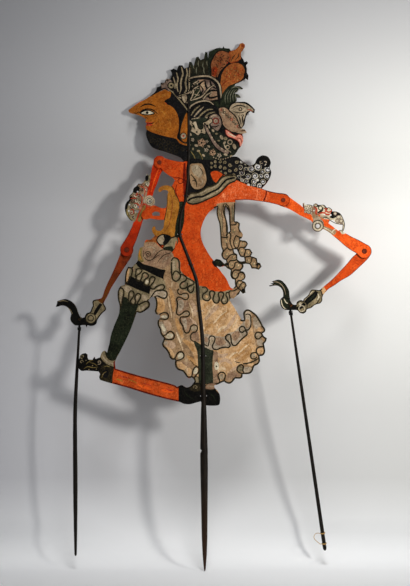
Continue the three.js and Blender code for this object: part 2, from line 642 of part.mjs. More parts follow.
function strawLoop() {
  const start = armRodRadius(rightArmRod, upperWrap / rightArmRodLength) + 2 * play + 2 * strawRadius;
  const curve = new THREE.CatmullRomCurve3([
    new THREE.Vector3(-start, 0, -upperWrap),
    new THREE.Vector3(-start - 1.5, 2, -upperWrap + 0.4),
    new THREE.Vector3(-start - 5, 4.6, -upperWrap - 0.6),
    new THREE.Vector3(-start - 7.6, 1.2, -upperWrap - 3.4),
    new THREE.Vector3(-start - 7, -3.4, -upperWrap - 6),
    new THREE.Vector3(-start - 4, -5, -upperWrap - 9.6),
    new THREE.Vector3(-start - 1.2, -3, -lowerWrap + 0.6),
    new THREE.Vector3(-start, 0, -lowerWrap),
  ]);
  const section = new THREE.Shape(
    arc([0, 0], strawRadius, 0, 315, 7).map(([x, y]) => new THREE.Vector2(x, y)),
  );
  return new THREE.ExtrudeGeometry(section, { extrudePath: curve, steps: 20 });
}

// Assembly

function pinned(names, pinGeometry, washerFront, x, z) {
  const group = new THREE.Group();
  group.position.set(x, 0, z);
  group.add(piece(names[0], pinGeometry, horn), piece(names[1], washer(washerFront), washerHide));
  return group;
}

// An arm rod with its tie, hung in the palm; turn is its slant in the plane of the figure
function hangingRod(side, turn, lean, pieces) {
  const group = new THREE.Group();
  group.rotation.y = degrees(turn);
  group.add(piece(`${side}_hand_tie`, handTie(), blackThread));
  const rod = new THREE.Group();
  rod.position.y = eyeDepth;
  rod.rotation.x = degrees(lean);
  rod.add(...pieces);
  group.add(rod);
  return group;
}

function arm(side, shoulder, elbow, palm, upper, lower, rod) {
  const group = new THREE.Group();
  group.position.set(shoulder.x, 0, gripLength + shoulder.y);
  group.add(piece(`${side}_upper_arm`, upper, orangeHide));
  group.add(pinned(
    [`${side}_shoulder_pin`, `${side}_shoulder_washer`], shoulderPin(), upperArmBack + play, 0, 0,
  ));
  group.add(pinned(
    [`${side}_elbow_pin`, `${side}_elbow_washer`], elbowPin(), forearmBack + play, elbow.x, elbow.y,
  ));
  const forearmGroup = new THREE.Group();
  forearmGroup.position.set(elbow.x, 0, elbow.y);
  forearmGroup.add(piece(`${side}_forearm`, lower, orangeHide));
  rod.position.set(palm.x, 0, palm.y);
  forearmGroup.add(rod);
  group.add(forearmGroup);
  return group;
}

const leftBindingAt = 11;
const rightBindingAt = 10.5;
const rightSlant = -8.4;

const leftRod = hangingRod('left', 0, leftRodLean, [
  piece('left_arm_rod', armRod(leftArmRod), horn),
  piece(
    'left_rod_binding', collar(leftArmRod, leftBindingAt, leftBindingThread, bindingHeight), blackThread,
  ),
]);
const rightRod = hangingRod('right', rightSlant, rightRodLean, [
  piece('right_arm_rod', armRod(rightArmRod), horn),
  piece(
    'right_rod_binding', collar(rightArmRod, rightBindingAt, rightBindingThread, bindingHeight), blackThread,
  ),
  piece('right_upper_wrap', threadWrap(upperWrap), strawThread),
  piece('right_lower_wrap', threadWrap(lowerWrap), strawThread),
  piece('right_rod_thread', strawLoop(), strawThread),
]);

const puppet = new THREE.Group();
puppet.add(piece('figure_sheet', figureSheet(), paintedHide));
puppet.add(piece('main_rod', mainRod(), horn));
for (const [k, turn] of lashings.entries()) {
  puppet.add(piece(`rod_tie_${k + 1}`, threadRing(turn), blackThread));
}
puppet.add(arm(
  'left', leftShoulder, leftElbow, leftPalm,
  upperArm(leftUpperArmOutline, [], armletRingCentre, armletRingEye, leftElbow),
  forearm(leftForearmOutline, leftPalm),
  leftRod,
));
puppet.add(arm(
  'right', rightShoulder, rightElbow, rightPalm,
  upperArm(
    rightUpperArmOutline, [underFeatherArc], rightArmletRingCentre, rightArmletRingEye, rightElbow,
  ),
  forearm(rightForearmOutline, rightPalm),
  rightRod,
));

export default puppet;
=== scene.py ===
"""Looks of the shadow puppet: painted hide, horn rods, thread, light and camera. Metres, +Z up."""

import math
import re

import bmesh
import bpy
import numpy as np
from mathutils import Matrix, Vector
from mathutils.geometry import delaunay_2d_cdt


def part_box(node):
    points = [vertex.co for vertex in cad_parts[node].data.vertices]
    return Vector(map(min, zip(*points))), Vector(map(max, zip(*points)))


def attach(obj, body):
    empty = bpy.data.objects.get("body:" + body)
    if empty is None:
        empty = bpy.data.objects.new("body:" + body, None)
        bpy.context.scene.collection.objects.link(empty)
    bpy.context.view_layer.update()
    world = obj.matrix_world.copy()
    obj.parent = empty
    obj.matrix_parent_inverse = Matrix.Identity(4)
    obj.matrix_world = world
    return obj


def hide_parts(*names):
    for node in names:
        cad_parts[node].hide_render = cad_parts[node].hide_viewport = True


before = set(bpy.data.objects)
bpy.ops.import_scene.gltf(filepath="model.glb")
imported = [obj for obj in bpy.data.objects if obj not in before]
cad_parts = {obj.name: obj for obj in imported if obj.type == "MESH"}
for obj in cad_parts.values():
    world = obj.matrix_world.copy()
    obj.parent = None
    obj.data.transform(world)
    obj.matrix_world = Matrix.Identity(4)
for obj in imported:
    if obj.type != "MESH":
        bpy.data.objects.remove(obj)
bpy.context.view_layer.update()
scene = bpy.context.scene

# The figure is drawn on a grid of small cells, with x to the right and y down as on a pattern sheet.
CELL = 0.00125
GRID_X, GRID_Y = 204.8, 571.0  # where the point of the main rod lies on that grid


def to_metres(x, y):
    return (x - GRID_X) * CELL, (GRID_Y - y) * CELL


def to_cells(x, z):
    return x / CELL + GRID_X, GRID_Y - z / CELL


# Sizes that this script shares with the solids
SHEET_FRONT, SHEET_BACK = -0.0008, 0.0008
UPPER_FRONT, UPPER_BACK = 0.0011, 0.0027
FORE_FRONT, FORE_BACK = 0.0033, 0.0049
GRIP_TOP = 0.207
LEFT_SHOULDER = (-0.0565, GRIP_TOP + 0.3039)
RIGHT_SHOULDER = (0.0981, GRIP_TOP + 0.2567)
LEFT_ELBOW = (LEFT_SHOULDER[0] - 0.0412, LEFT_SHOULDER[1] - 0.1096)
RIGHT_ELBOW = (RIGHT_SHOULDER[0] + 0.1015, RIGHT_SHOULDER[1] - 0.0640)
LEFT_PALM = (LEFT_ELBOW[0] - 0.0592, LEFT_ELBOW[1] - 0.0869)
RIGHT_PALM = (RIGHT_ELBOW[0] - 0.0934, RIGHT_ELBOW[1] - 0.0660)
EYE_DEPTH = 0.00805
EYE_RADIUS = 0.0025
LEFT_ROD_LENGTH, RIGHT_ROD_LENGTH = 0.297, 0.3165
LEFT_SLANT, RIGHT_SLANT = 0, -8.4  # degrees by which the arm rods lean sideways
LEFT_LEAN, RIGHT_LEAN = 0.5, 4.3  # and by which their feet lean back
UPPER_WRAP, LOWER_WRAP = 0.0225, 0.009  # heights of the straw windings above the right rod's foot
PLAY = 0.0003  # gap between pieces that turn on each other


# Camera

VIEW_CENTRE = to_metres(205, 293)
VIEW_HEIGHT = 586 * CELL
VIEW_DISTANCE = 2.4

camera_data = bpy.data.cameras.new("camera")
camera_data.sensor_fit = "VERTICAL"
camera_data.sensor_height = 24
camera_data.lens = camera_data.sensor_height * VIEW_DISTANCE / VIEW_HEIGHT
camera = bpy.data.objects.new("camera", camera_data)
scene.collection.objects.link(camera)
camera.location = (VIEW_CENTRE[0], -VIEW_DISTANCE, VIEW_CENTRE[1])
camera.rotation_euler = (math.pi / 2, 0, 0)
scene.camera = camera


# Materials


class Nodes:
    """A material's node tree, built by short calls."""

    def __init__(self, name):
        self.material = bpy.data.materials.new(name)
        self.material.use_nodes = True
        self.tree = self.material.node_tree
        self.shader = self.tree.nodes["Principled BSDF"]
        self.place = self.add("ShaderNodeTexCoord").outputs["Object"]

    def add(self, kind, **settings):
        node = self.tree.nodes.new(kind)
        for key, value in settings.items():
            setattr(node, key, value)
        return node

    def link(self, source, target):
        self.tree.links.new(source, target)
        return target

    def stretched(self, x, y, z):
        mapping = self.add("ShaderNodeMapping")
        mapping.inputs["Scale"].default_value = (x, y, z)
        self.link(self.place, mapping.inputs["Vector"])
        return mapping.outputs["Vector"]

    def axes(self):
        split = self.add("ShaderNodeSeparateXYZ")
        self.link(self.place, split.inputs[0])
        return split.outputs

    def noise(self, scale, detail=3.0, rough=0.55, place=None):
        node = self.add("ShaderNodeTexNoise")
        node.inputs["Scale"].default_value = scale
        node.inputs["Detail"].default_value = detail
        node.inputs["Roughness"].default_value = rough
        self.link(place or self.place, node.inputs["Vector"])
        return node.outputs["Fac"]

    def ranged(self, value, low, high, to_low=0.0, to_high=1.0):
        node = self.add("ShaderNodeMapRange")
        node.inputs["From Min"].default_value = low
        node.inputs["From Max"].default_value = high
        node.inputs["To Min"].default_value = to_low
        node.inputs["To Max"].default_value = to_high
        self.link(value, node.inputs["Value"])
        return node.outputs["Result"]

    def mixed(self, share, first, second):
        node = self.add("ShaderNodeMix", data_type="RGBA")
        for socket, value in (("A_Color", first), ("B_Color", second)):
            target = next(s for s in node.inputs if s.identifier == socket)
            if isinstance(value, tuple):
                target.default_value = value
            else:
                self.link(value, target)
        target = next(s for s in node.inputs if s.identifier == "Factor_Float")
        if isinstance(share, float):
            target.default_value = share
        else:
            self.link(share, target)
        return next(s for s in node.outputs if s.identifier == "Result_Color")

    def summed(self, first, second, share=1.0):
        scaled = self.add("ShaderNodeMath", operation="MULTIPLY")
        self.link(second, scaled.inputs[0])
        scaled.inputs[1].default_value = share
        total = self.add("ShaderNodeMath", operation="ADD")
        self.link(first, total.inputs[0])
        self.link(scaled.outputs[0], total.inputs[1])
        return total.outputs[0]

    def finish(self, colour, rough, height, bump, distance):
        self.link(colour, self.shader.inputs["Base Color"])
        self.link(rough, self.shader.inputs["Roughness"])
        node = self.add("ShaderNodeBump")
        node.inputs["Strength"].default_value = bump
        node.inputs["Distance"].default_value = distance
        self.link(height, node.inputs["Height"])
        self.link(node.outputs["Normal"], self.shader.inputs["Normal"])
        return self.material


def colour(code, gain=1.0):
    """Linear colour with alpha from an sRGB hex code."""
    channels = [int(code[k : k + 2], 16) / 255 for k in (0, 2, 4)]
    linear = [c / 12.92 if c <= 0.04045 else ((c + 0.055) / 1.055) ** 2.4 for c in channels]
    return tuple(min(1.0, c * gain) for c in linear) + (1.0,)


def paint_material(name, code, shade, worn, wear, rough, shade_below=None):
    """Water paint on hide: cloudy pigment, fine speckle, and spots where the coat has worn.

    Its last setting is painted shade: a darker code and the two heights between which the coat turns to it
    downwards."""
    n = Nodes(name)
    n.shader.inputs["Specular IOR Level"].default_value = 0.06
    cloud = n.ranged(n.noise(70, 6, 0.68), 0.4, 0.58)
    tone = n.mixed(cloud, colour(shade, 0.92), colour(code, 1.04))
    grain = n.ranged(n.noise(620, 4, 0.65), 0.5, 0.66, 0.0, 0.5)
    tone = n.mixed(grain, tone, colour(worn, 1.1))
    streak = n.noise(150, 5, 0.72, n.stretched(1.0, 1.0, 0.4))
    spots = n.ranged(streak, 0.62 - 0.12 * wear, 0.72 - 0.1 * wear, 0.0, min(1.0, 1.7 * wear))
    tone = n.mixed(spots, tone, colour(worn, 1.15))
    pits = n.ranged(n.noise(420, 3, 0.6), 0.36, 0.44, 0.6, 0.0)
    tone = n.mixed(pits, tone, colour(shade, 0.5))
    # painted shade: darker towards the bottom
    if shade_below:
        low = n.ranged(n.axes()["Z"], shade_below[1], shade_below[2])
        tone = n.mixed(low, tone, n.mixed(cloud, colour(shade_below[0], 0.8), colour(shade_below[0], 1.15)))
    gloss = n.ranged(n.noise(320, 3), 0.3, 0.7, rough - 0.09, rough + 0.13)
    height = n.summed(n.noise(34, 2), n.noise(1300, 3), 0.16)
    return n.finish(tone, gloss, height, 0.35, 0.0012)


# Colour of each paint, its darker clouds and its worn spots, with its wear and its roughness
PAINTS = {
    "cut": ("8a6237", "6a4524", "b08a55", 0.3, 0.7),
    "skin": ("c24310", "b0380c", "d4682c", 0.32, 0.55),
    # painted shade: a darker, redder copy of limb, the ground of the left upper arm
    "shaded_limb": ("bf2a06", "a01e04", "cf4c18", 0.3, 0.55),
    # red-brown paint, and as the ground of the left forearm also painted shade, a darker copy of flame
    "umber": ("7e2e0f", "64220a", "924522", 0.3, 0.55),
    "limb": ("e4571a", "d04610", "f0742c", 0.3, 0.55),
    "face": ("9c5716", "864610", "b97834", 0.3, 0.55),
    "ochre": ("ad6f22", "8f581a", "bc8640", 0.25, 0.55),
    "dark": ("1a2014", "0f120a", "3c3f2a", 0.18, 0.6),
    "hair": ("100f10", "080808", "2c2826", 0.15, 0.6),
    "cream": ("cfc2a4", "a89a80", "e2d8c0", 0.4, 0.65),
    "bone": ("a28f74", "7d6c55", "b9a88c", 0.45, 0.65),
    "grey": ("a8957e", "867660", "c4b29a", 0.45, 0.65),
    "ash": ("867658", "655a42", "a0906f", 0.45, 0.65),
    "tan": ("c59c6d", "a87f54", "dabd99", 0.55, 0.65),
    "buff": ("9a7a58", "7c6044", "b49a78", 0.5, 0.65),
    "brown": ("955022", "743a18", "b8743a", 0.4, 0.55),
    "rose": ("98785c", "785a46", "b09878", 0.4, 0.65),
    "mauve": ("7c6658", "5c4a40", "9a8472", 0.4, 0.65),
    "red": ("b0361f", "84220f", "cb6a50", 0.3, 0.55),
    "tongue": ("d4826c", "b0604c", "e0a890", 0.35, 0.6),
    "cloth": ("b88c5a", "9c7040", "caa478", 0.5, 0.65),
    "blush": ("b8987a", "9c7c5e", "ccb298", 0.5, 0.65),
    "glint": ("d2b48e", "b89870", "e4d2b4", 0.5, 0.65),
    "leaf": ("1f231a", "11140d", "3a3e30", 0.25, 0.6),
    "sage": ("6e6c58", "54523e", "8c8872", 0.35, 0.6),
    "bark": ("7e482a", "62341a", "a06840", 0.4, 0.55),
    "moss": ("2a2e21", "1c1f15", "4a4a38", 0.25, 0.6),
    # painted highlight: lighter orange laid over the right shoulder, where the lamp's light falls
    "light": ("cc4e1a", "bb4012", "e88e5e", 0.5, 0.55),
    "flame": ("c84410", "ae3408", "d8662a", 0.3, 0.55),
    "ember": ("b83a0c", "9c2c06", "c8602a", 0.3, 0.55),
    "line": ("262013", "16120a", "4a4028", 0.2, 0.6),
    "black": ("0b0a08", "050504", "24201a", 0.15, 0.6),
    "blood": ("6a1405", "4c0d04", "8c3014", 0.25, 0.55),
    "strip": ("cb4e1a", "a83c10", "d97038", 0.35, 0.55),
    "olive": ("7a683a", "5e4f2c", "94824e", 0.35, 0.6),
}
PAINT_NAMES = list(PAINTS)
paints = {name: paint_material(name, *facts) for name, facts in PAINTS.items()}
# Painted shade: the left arm's grounds turn darker below these heights, towards its elbow and its hand.
paints["umber"] = paint_material("umber", *PAINTS["umber"], shade_below=("57300f", 0.385, 0.34))
paints["shaded_limb"] = paint_material("shaded_limb", *PAINTS["shaded_limb"], shade_below=("92260a", 0.445, 0.4))


def horn_material(name, dark, light, tip, tip_from, tip_to):
    """Scraped horn: dark, with long streaks, and browner towards one height."""
    n = Nodes(name)
    along = n.stretched(1.0, 1.0, 0.06)
    streak = n.ranged(n.noise(900, 4, 0.6, along), 0.4, 0.72, 0.0, 0.8)
    body = n.mixed(streak, colour(dark), colour(light))
    low = n.ranged(n.axes()["Z"], tip_from, tip_to)
    body = n.mixed(low, body, n.mixed(streak, colour(tip), colour(light)))
    gloss = n.ranged(n.noise(240, 4), 0.3, 0.7, 0.36, 0.58)
    n.shader.inputs["Specular IOR Level"].default_value = 0.14
    height = n.summed(n.noise(700, 3, 0.6, along), n.noise(90, 3), 0.6)
    return n.finish(body, gloss, height, 0.3, 0.0006)


def thread_material(name, code, shade):
    """Waxed thread: fibre streaks and a soft sheen."""
    n = Nodes(name)
    fibre = n.ranged(n.noise(5200, 3), 0.35, 0.68)
    tone = n.mixed(fibre, colour(shade), colour(code))
    gloss = n.ranged(n.noise(900, 2), 0.3, 0.7, 0.66, 0.88)
    n.shader.inputs["Specular IOR Level"].default_value = 0.2
    return n.finish(tone, gloss, fibre, 0.5, 0.0001)


horn = horn_material("horn", "0d0a07", "2a2016", "38200f", tip_from=0.12, tip_to=0.0)
arm_horn = horn_material("arm_horn", "0b0907", "221a11", "120d09", tip_from=0.10, tip_to=0.0)
pin_horn = horn_material("pin_horn", "541a0a", "8c3514", "2a140c", tip_from=0.0, tip_to=-1.0)
black_thread = thread_material("black_thread", "15120f", "080706")
straw_thread = thread_material("straw_thread", "d9b26c", "a67a3c")
washer_hide = paint_material("washer_hide", "8f6238", "6d4625", "b58d5d", 0.4, 0.7)


# Mesh tools


def mesh_object(name, points, faces, materials, face_materials=None, smooth=True):
    mesh = bpy.data.meshes.new(name)
    mesh.from_pydata([tuple(p) for p in points], [], [tuple(f) for f in faces])
    for material in materials:
        mesh.materials.append(material)
    if face_materials is not None:
        mesh.polygons.foreach_set("material_index", np.asarray(face_materials, np.int32))
    mesh.polygons.foreach_set("use_smooth", np.full(len(mesh.polygons), smooth))
    mesh.update()
    obj = bpy.data.objects.new(name, mesh)
    scene.collection.objects.link(obj)
    return obj


def ring_faces(rings, sides):
    """Faces between rings of equal size, of which the last is joined to the first."""
    return [
        (ring * sides + k, ring * sides + (k + 1) % sides, after * sides + (k + 1) % sides, after * sides + k)
        for ring, after in enumerate([*range(1, rings), 0])
        for k in range(sides)
    ]


def loft(sections):
    """Closed shell through rings of equal size, given as arrays of points."""
    count = len(sections[0])
    points = np.concatenate(sections).tolist()
    points += [np.mean(sections[0], axis=0).tolist(), np.mean(sections[-1], axis=0).tolist()]
    faces = []
    for ring in range(len(sections) - 1):
        for k in range(count):
            a, b = ring * count + k, ring * count + (k + 1) % count
            faces.append((a, b, b + count, a + count))
    top = (len(sections) - 1) * count
    first, last = len(points) - 2, len(points) - 1
    for k in range(count):
        after = (k + 1) % count
        faces.append((first, after, k))
        faces.append((last, top + k, top + after))
    return points, faces


def swept(path, radius, sides=12, strands=0, pitch=0.001, closed=False):
    """Tube along a path. With strands it is a twisted thread, with a groove between its strands."""
    path = np.asarray(path, float)
    if closed:
        tangents = np.roll(path, -1, 0) - np.roll(path, 1, 0)
    else:
        tangents = np.gradient(path, axis=0)
    tangents /= np.linalg.norm(tangents, axis=1)[:, None]
    radii = np.broadcast_to(radius, len(path))
    normal = np.cross(tangents[0], (0.31, 0.92, 0.24))
    run = np.concatenate(([0], np.cumsum(np.linalg.norm(np.diff(path, axis=0), axis=1))))
    angles = np.arange(sides) * 2 * math.pi / sides
    sections = []
    for point, tangent, size, length in zip(path, tangents, radii, run):
        normal = normal - tangent * np.dot(normal, tangent)
        normal /= np.linalg.norm(normal)
        side = np.cross(tangent, normal)
        reach = np.full(sides, size)
        if strands:
            phase = strands * (angles - 2 * math.pi * length / pitch) / 2
            reach = size * (0.72 + 0.28 * np.abs(np.cos(phase)))
        ring = np.outer(reach * np.cos(angles), normal) + np.outer(reach * np.sin(angles), side)
        sections.append(point + ring)
    if not closed:
        return loft(sections)
    return np.concatenate(sections).tolist(), ring_faces(len(sections), sides)


def joined(*shells):
    points, faces = [], []
    for shell_points, shell_faces in shells:
        start = len(points)
        points += [tuple(p) for p in shell_points]
        faces += [tuple(start + k for k in face) for face in shell_faces]
    return points, faces


def turned(profile, sides=48):
    """Solid of revolution about Y from (radius, y) pairs."""
    angles = np.arange(sides) * 2 * math.pi / sides
    sections = []
    for radius, depth in profile:
        ring = np.stack([radius * np.cos(angles), np.full(sides, depth), radius * np.sin(angles)], 1)
        sections.append(ring)
    return loft(sections)


def moved(shell, matrix):
    points, faces = shell
    return [tuple(matrix @ Vector(p)) for p in points], faces


def placed(x, z):
    return Matrix.Translation((x, 0, z))


# Drawing tools: every shape is a paint and closed loops of cells, laid over the ones before it


def pairs(text):
    return np.array([[float(v) for v in item.split(",")] for item in text.split()])


def spline(points, closed=False, spacing=1.0, sharp=180.0):
    """Smooth line through the points, which keeps corners that turn by more than sharp degrees."""
    points = pairs(points) if isinstance(points, str) else np.asarray(points, float)
    count = len(points)
    before, after = np.roll(points, 1, 0), np.roll(points, -1, 0)
    if not closed:
        before[0], after[-1] = points[0], points[-1]
    reach_in = np.linalg.norm(points - before, axis=1)
    reach_out = np.linalg.norm(after - points, axis=1)
    whole = np.maximum(reach_in + reach_out, 1e-9)
    slopes = (after - before) / whole[:, None]
    turn_in = np.arctan2(*(points - before).T[:2])
    turn_out = np.arctan2(*(after - points).T[:2])
    turn = np.abs((np.degrees(turn_out - turn_in) + 180) % 360 - 180)
    corner = turn > sharp
    out = []
    for k in range(count if closed else count - 1):
        start, end = points[k], points[(k + 1) % count]
        length = np.linalg.norm(end - start)
        if length < 1e-6:
            continue
        straight = (end - start) / length
        leave = straight if corner[k] else slopes[k]
        arrive = straight if corner[(k + 1) % count] else slopes[(k + 1) % count]
        steps = max(1, round(length / spacing))
        t = (np.arange(steps) / steps)[:, None]
        out.append(
            (2 * t**3 - 3 * t**2 + 1) * start
            + (t**3 - 2 * t**2 + t) * length * leave
            + (3 * t**2 - 2 * t**3) * end
            + (t**3 - t**2) * length * arrive
        )
    if not closed:
        out.append(points[-1:])
    return np.concatenate(out)


def circle(x, y, radius, sides=12, flat=1.0, turn=0.0):
    angles = np.arange(sides) * 2 * math.pi / sides
    long, short = radius * np.cos(angles), radius * flat * np.sin(angles)
    c, s = math.cos(math.radians(turn)), math.sin(math.radians(turn))
    return np.stack([x + c * long - s * short, y + s * long + c * short], 1)


def ribbon(line, width, closed=False, start=1.0, end=1.0):
    """Loops of a painted line of the given width, which thins towards its start and end shares."""
    line = np.asarray(line, float)
    if closed:
        along = np.roll(line, -1, 0) - np.roll(line, 1, 0)
    else:
        along = np.gradient(line, axis=0)
    along /= np.maximum(np.linalg.norm(along, axis=1), 1e-9)[:, None]
    run = np.linspace(0, 1, len(line))
    share = np.minimum(start + (1 - start) * 3.5 * run, end + (1 - end) * 3.5 * (1 - run)).clip(0, 1)
    side = np.stack([-along[:, 1], along[:, 0]], 1) * (width / 2 * share)[:, None]
    if closed:
        return [line + side, (line - side)[::-1]]
    return [np.concatenate([line + side, (line - side)[::-1]])]


def thinned(loop, allowed=0.045):
    """Loop without the points that lie nearly on the line between their neighbours."""
    count = len(loop)
    kept, last = [0], 0
    for k in range(2, count + 1):
        start, end = loop[last], loop[k % count]
        run = end - start
        between = loop[last + 1 : k] - start
        length = math.hypot(*run)
        off = np.abs(between[:, 0] * run[1] - between[:, 1] * run[0]) / max(length, 1e-9)
        if length < 1e-6 or off.max() > allowed or length > 9:
            last = k - 1
            kept.append(last)
    return loop[kept] if len(kept) > 3 else loop


def setting(word):
    """A setting's whole number, number or name."""
    if re.fullmatch(r"-?\d+", word):
        return int(word)
    return float(word) if re.fullmatch(r"-?\d*\.\d+", word) else word


class Drawing:
    """Painted shapes in the order in which they are laid on."""

    def __init__(self):
        self.shapes = []

    def fill(self, paint, *loops):
        loops = [pairs(p) if isinstance(p, str) else np.asarray(p, float) for p in loops]
        self.shapes.append((paint, [thinned(loop) for loop in loops]))

    def area(self, paint, points, edge=None, width=0.9, spacing=1.2, sharp=180.0):
        outline = spline(points, True, spacing, sharp)
        self.fill(paint, outline)
        if edge:
            self.fill(edge, *ribbon(outline, width, True))

    def stroke(self, paint, points, width=0.9, start=1.0, end=None):
        self.fill(paint, *ribbon(spline(points), width, False, start, start if end is None else end))

    def ring(self, paint, x, y, radius, width=0.6, flat=1.0, turn=0.0, sides=12):
        path = circle(x, y, radius, sides, flat, turn)
        self.fill(paint, *ribbon(path, width, True))

    def dot(self, paint, x, y, radius, flat=1.0, turn=0.0, sides=8):
        self.fill(paint, circle(x, y, radius, sides, flat, turn))

    def curl(self, paint, x, y, radius, start, sweep, width=0.8, inner=0.15):
        """Spiral that runs inwards from an angle, in degrees, with the sign of sweep as its way round."""
        steps = max(6, int(abs(sweep) / 32))
        angles = np.radians(start + np.linspace(0, sweep, steps))
        reach = radius * np.linspace(1, inner, steps)
        path = np.stack([x + reach * np.cos(angles), y + reach * np.sin(angles)], 1)
        self.fill(paint, *ribbon(path, width, False, 1.0, 0.5))

    def band(self, paint, points, width=1.4, edge="black", rim=0.75, start=0.5, end=0.5):
        """Painted line with a darker line along both of its sides."""
        path = spline(points, False, 1.0)
        self.fill(edge, *ribbon(path, width + 2 * rim, False, start, end))
        self.fill(paint, *ribbon(path, width, False, start, end))

    def edge(self, paint, width, *zone):
        """Stroke along the sheet's own rims inside a zone, as wide as given on the sheet."""
        self.shapes.append((paint, (2 * width, [pairs(p) for p in zone])))

    def draw(self, rows):
        """Lays on the shapes of a text: their kind, paint and settings, and then their points.

        The settings stand in the order of the method of that name, or as name=value. A lone ; parts
        the points of shapes that are alike."""
        lines = {"area": self.area, "stroke": self.stroke, "band": self.band}
        marks = {"dot": self.dot, "ring": self.ring, "curl": self.curl}
        for row in re.split(r"\s+(?=(?:area|stroke|band|dot|ring|curl|edge) )", rows.strip()):
            kind, paint, *words = row.split()
            points = " ".join(w for w in words if "," in w or w == ";").split(" ; ")
            settings = [w for w in words if "," not in w and w != ";"]
            plain = [setting(w) for w in settings if "=" not in w]
            named = {key: setting(value) for key, value in (w.split("=") for w in settings if "=" in w)}
            if kind == "edge":
                self.edge(paint, *plain, *points)
            elif kind in marks:
                for place in points:
                    marks[kind](paint, *map(float, place.split(",")), *plain, **named)
            else:
                for line in points:
                    lines[kind](paint, line, *plain, **named)


def rim_strokes(rims, width, zone):
    """Loops of a line along the parts of the rims that lie in the zone."""
    loops = []
    for rim in rims:
        inside = covered(rim[:, 0], rim[:, 1], zone)
        if inside.all():
            loops += ribbon(rim, width, True)
            continue
        if not inside.any():
            continue
        first = int(np.argmin(inside))
        order = np.roll(np.arange(len(rim)), -first)
        run = []
        for k in order:
            if inside[k]:
                run.append(rim[k])
            else:
                if len(run) > 2:
                    loops += ribbon(np.array(run), width)
                run = []
        if len(run) > 2:
            loops += ribbon(np.array(run), width)
    return loops


def winding(x, y, loop):
    """How often a loop goes round each of the points."""
    total = np.zeros(len(x), np.int32)
    ends = np.roll(loop, -1, 0)
    for low in range(0, len(x), 4096):
        px, py = x[low : low + 4096, None], y[low : low + 4096, None]
        x0, y0, x1, y1 = loop[:, 0], loop[:, 1], ends[:, 0], ends[:, 1]
        cross = (x1 - x0) * (py - y0) - (px - x0) * (y1 - y0)
        up = (y0 <= py) & (y1 > py) & (cross > 0)
        down = (y0 > py) & (y1 <= py) & (cross < 0)
        total[low : low + 4096] = up.sum(1) - down.sum(1)
    return total


def covered(x, y, loops):
    low = np.min([loop.min(0) for loop in loops], axis=0)
    high = np.max([loop.max(0) for loop in loops], axis=0)
    near = (x >= low[0]) & (x <= high[0]) & (y >= low[1]) & (y <= high[1])
    inside = np.zeros(len(x), bool)
    if near.any():
        inside[near] = sum(winding(x[near], y[near], loop) for loop in loops) != 0
    return inside


def face_loops(node, front):
    """Outline and openings of a node's flat front face at a depth, as loops of cells."""
    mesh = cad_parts[node].data
    after = {}
    for polygon in mesh.polygons:
        corners = [mesh.vertices[k].co for k in polygon.vertices]
        if polygon.normal.y > -0.99 or abs(corners[0].y - front) > 1e-5:
            continue
        ring = [(round(c.x, 6), round(c.z, 6)) for c in corners]
        for start, end in zip(ring, ring[1:] + ring[:1]):
            if start in after.get(end, ()):
                after[end].remove(start)
            else:
                after.setdefault(start, []).append(end)
    loops = []
    while True:
        start = next((p for p, ends in after.items() if ends), None)
        if start is None:
            break
        loop, point = [], start
        while True:
            loop.append(to_cells(*point))
            point = after[point].pop()
            if point == start:
                break
        loops.append(np.array(loop))
    spans = [np.ptp(loop, axis=0).sum() for loop in loops]
    return [loops[k] for k in np.argsort(spans)[::-1]]


def triangulated(loops):
    """Points and triangles that keep every edge of the loops."""
    points, edges = [], []
    for loop in loops:
        first = len(points)
        points += [Vector(p) for p in loop.tolist()]
        edges += [(first + k, first + (k + 1) % len(loop)) for k in range(len(loop))]
    points, _, faces, _, _, _ = delaunay_2d_cdt(points, edges, [], 0, 1e-5)
    points = np.array([tuple(p) for p in points])
    return points, np.array([tuple(f) for f in faces if len(f) == 3], int)


def painted_sheet(name, body, node, drawing, base, front, back, seat=None):
    """Hide in one flat sheet, cut out as its solid is and painted alike on both faces.

    seat is the sunk place in the front face: x, y, radius (not used) and bore in cells, and depth in metres."""
    outline = face_loops(node, front)
    rims = [spline(loop, True, 1.0, 50.0) for loop in outline]
    shapes = [
        (shade, rim_strokes(rims, *shape)) if isinstance(shape, tuple) else (shade, shape)
        for shade, shape in drawing.shapes
    ]
    loops = rims + [loop for _, shape in shapes for loop in shape]
    if seat:
        loops.append(circle(*seat[:2], seat[3], 24))
    points, faces = triangulated(loops)
    a, b, c = (points[faces[:, k]] for k in range(3))
    area = (b[:, 0] - a[:, 0]) * (c[:, 1] - a[:, 1]) - (c[:, 0] - a[:, 0]) * (b[:, 1] - a[:, 1])
    solid = np.abs(area) > 1e-7
    faces, wrong_way = faces[solid], area[solid] > 0
    faces[wrong_way] = faces[wrong_way][:, ::-1]
    middle = points[faces].mean(1)
    x, y = middle[:, 0], middle[:, 1]
    kept = covered(x, y, rims[:1])
    for rim in rims[1:]:
        kept &= ~covered(x, y, [rim])
    whole = kept.copy()
    paint = np.full(len(faces), PAINT_NAMES.index(base))
    for shade, shape in shapes:
        if not shape:
            continue
        here = covered(x, y, shape)
        if shade is None:
            kept &= ~here
        else:
            kept |= here & whole
            paint[here] = PAINT_NAMES.index(shade)
    floor = np.zeros(len(faces), bool)
    if seat:
        floor = covered(x, y, [rim for rim in rims[1:] if np.hypot(*(rim.mean(0) - seat[:2])) < 0.5])
        floor &= ~covered(x, y, [circle(*seat[:2], seat[3], 24)])
    return solid_sheet(name, body, node, points, faces, paint, kept & ~floor, floor, front, back, seat)


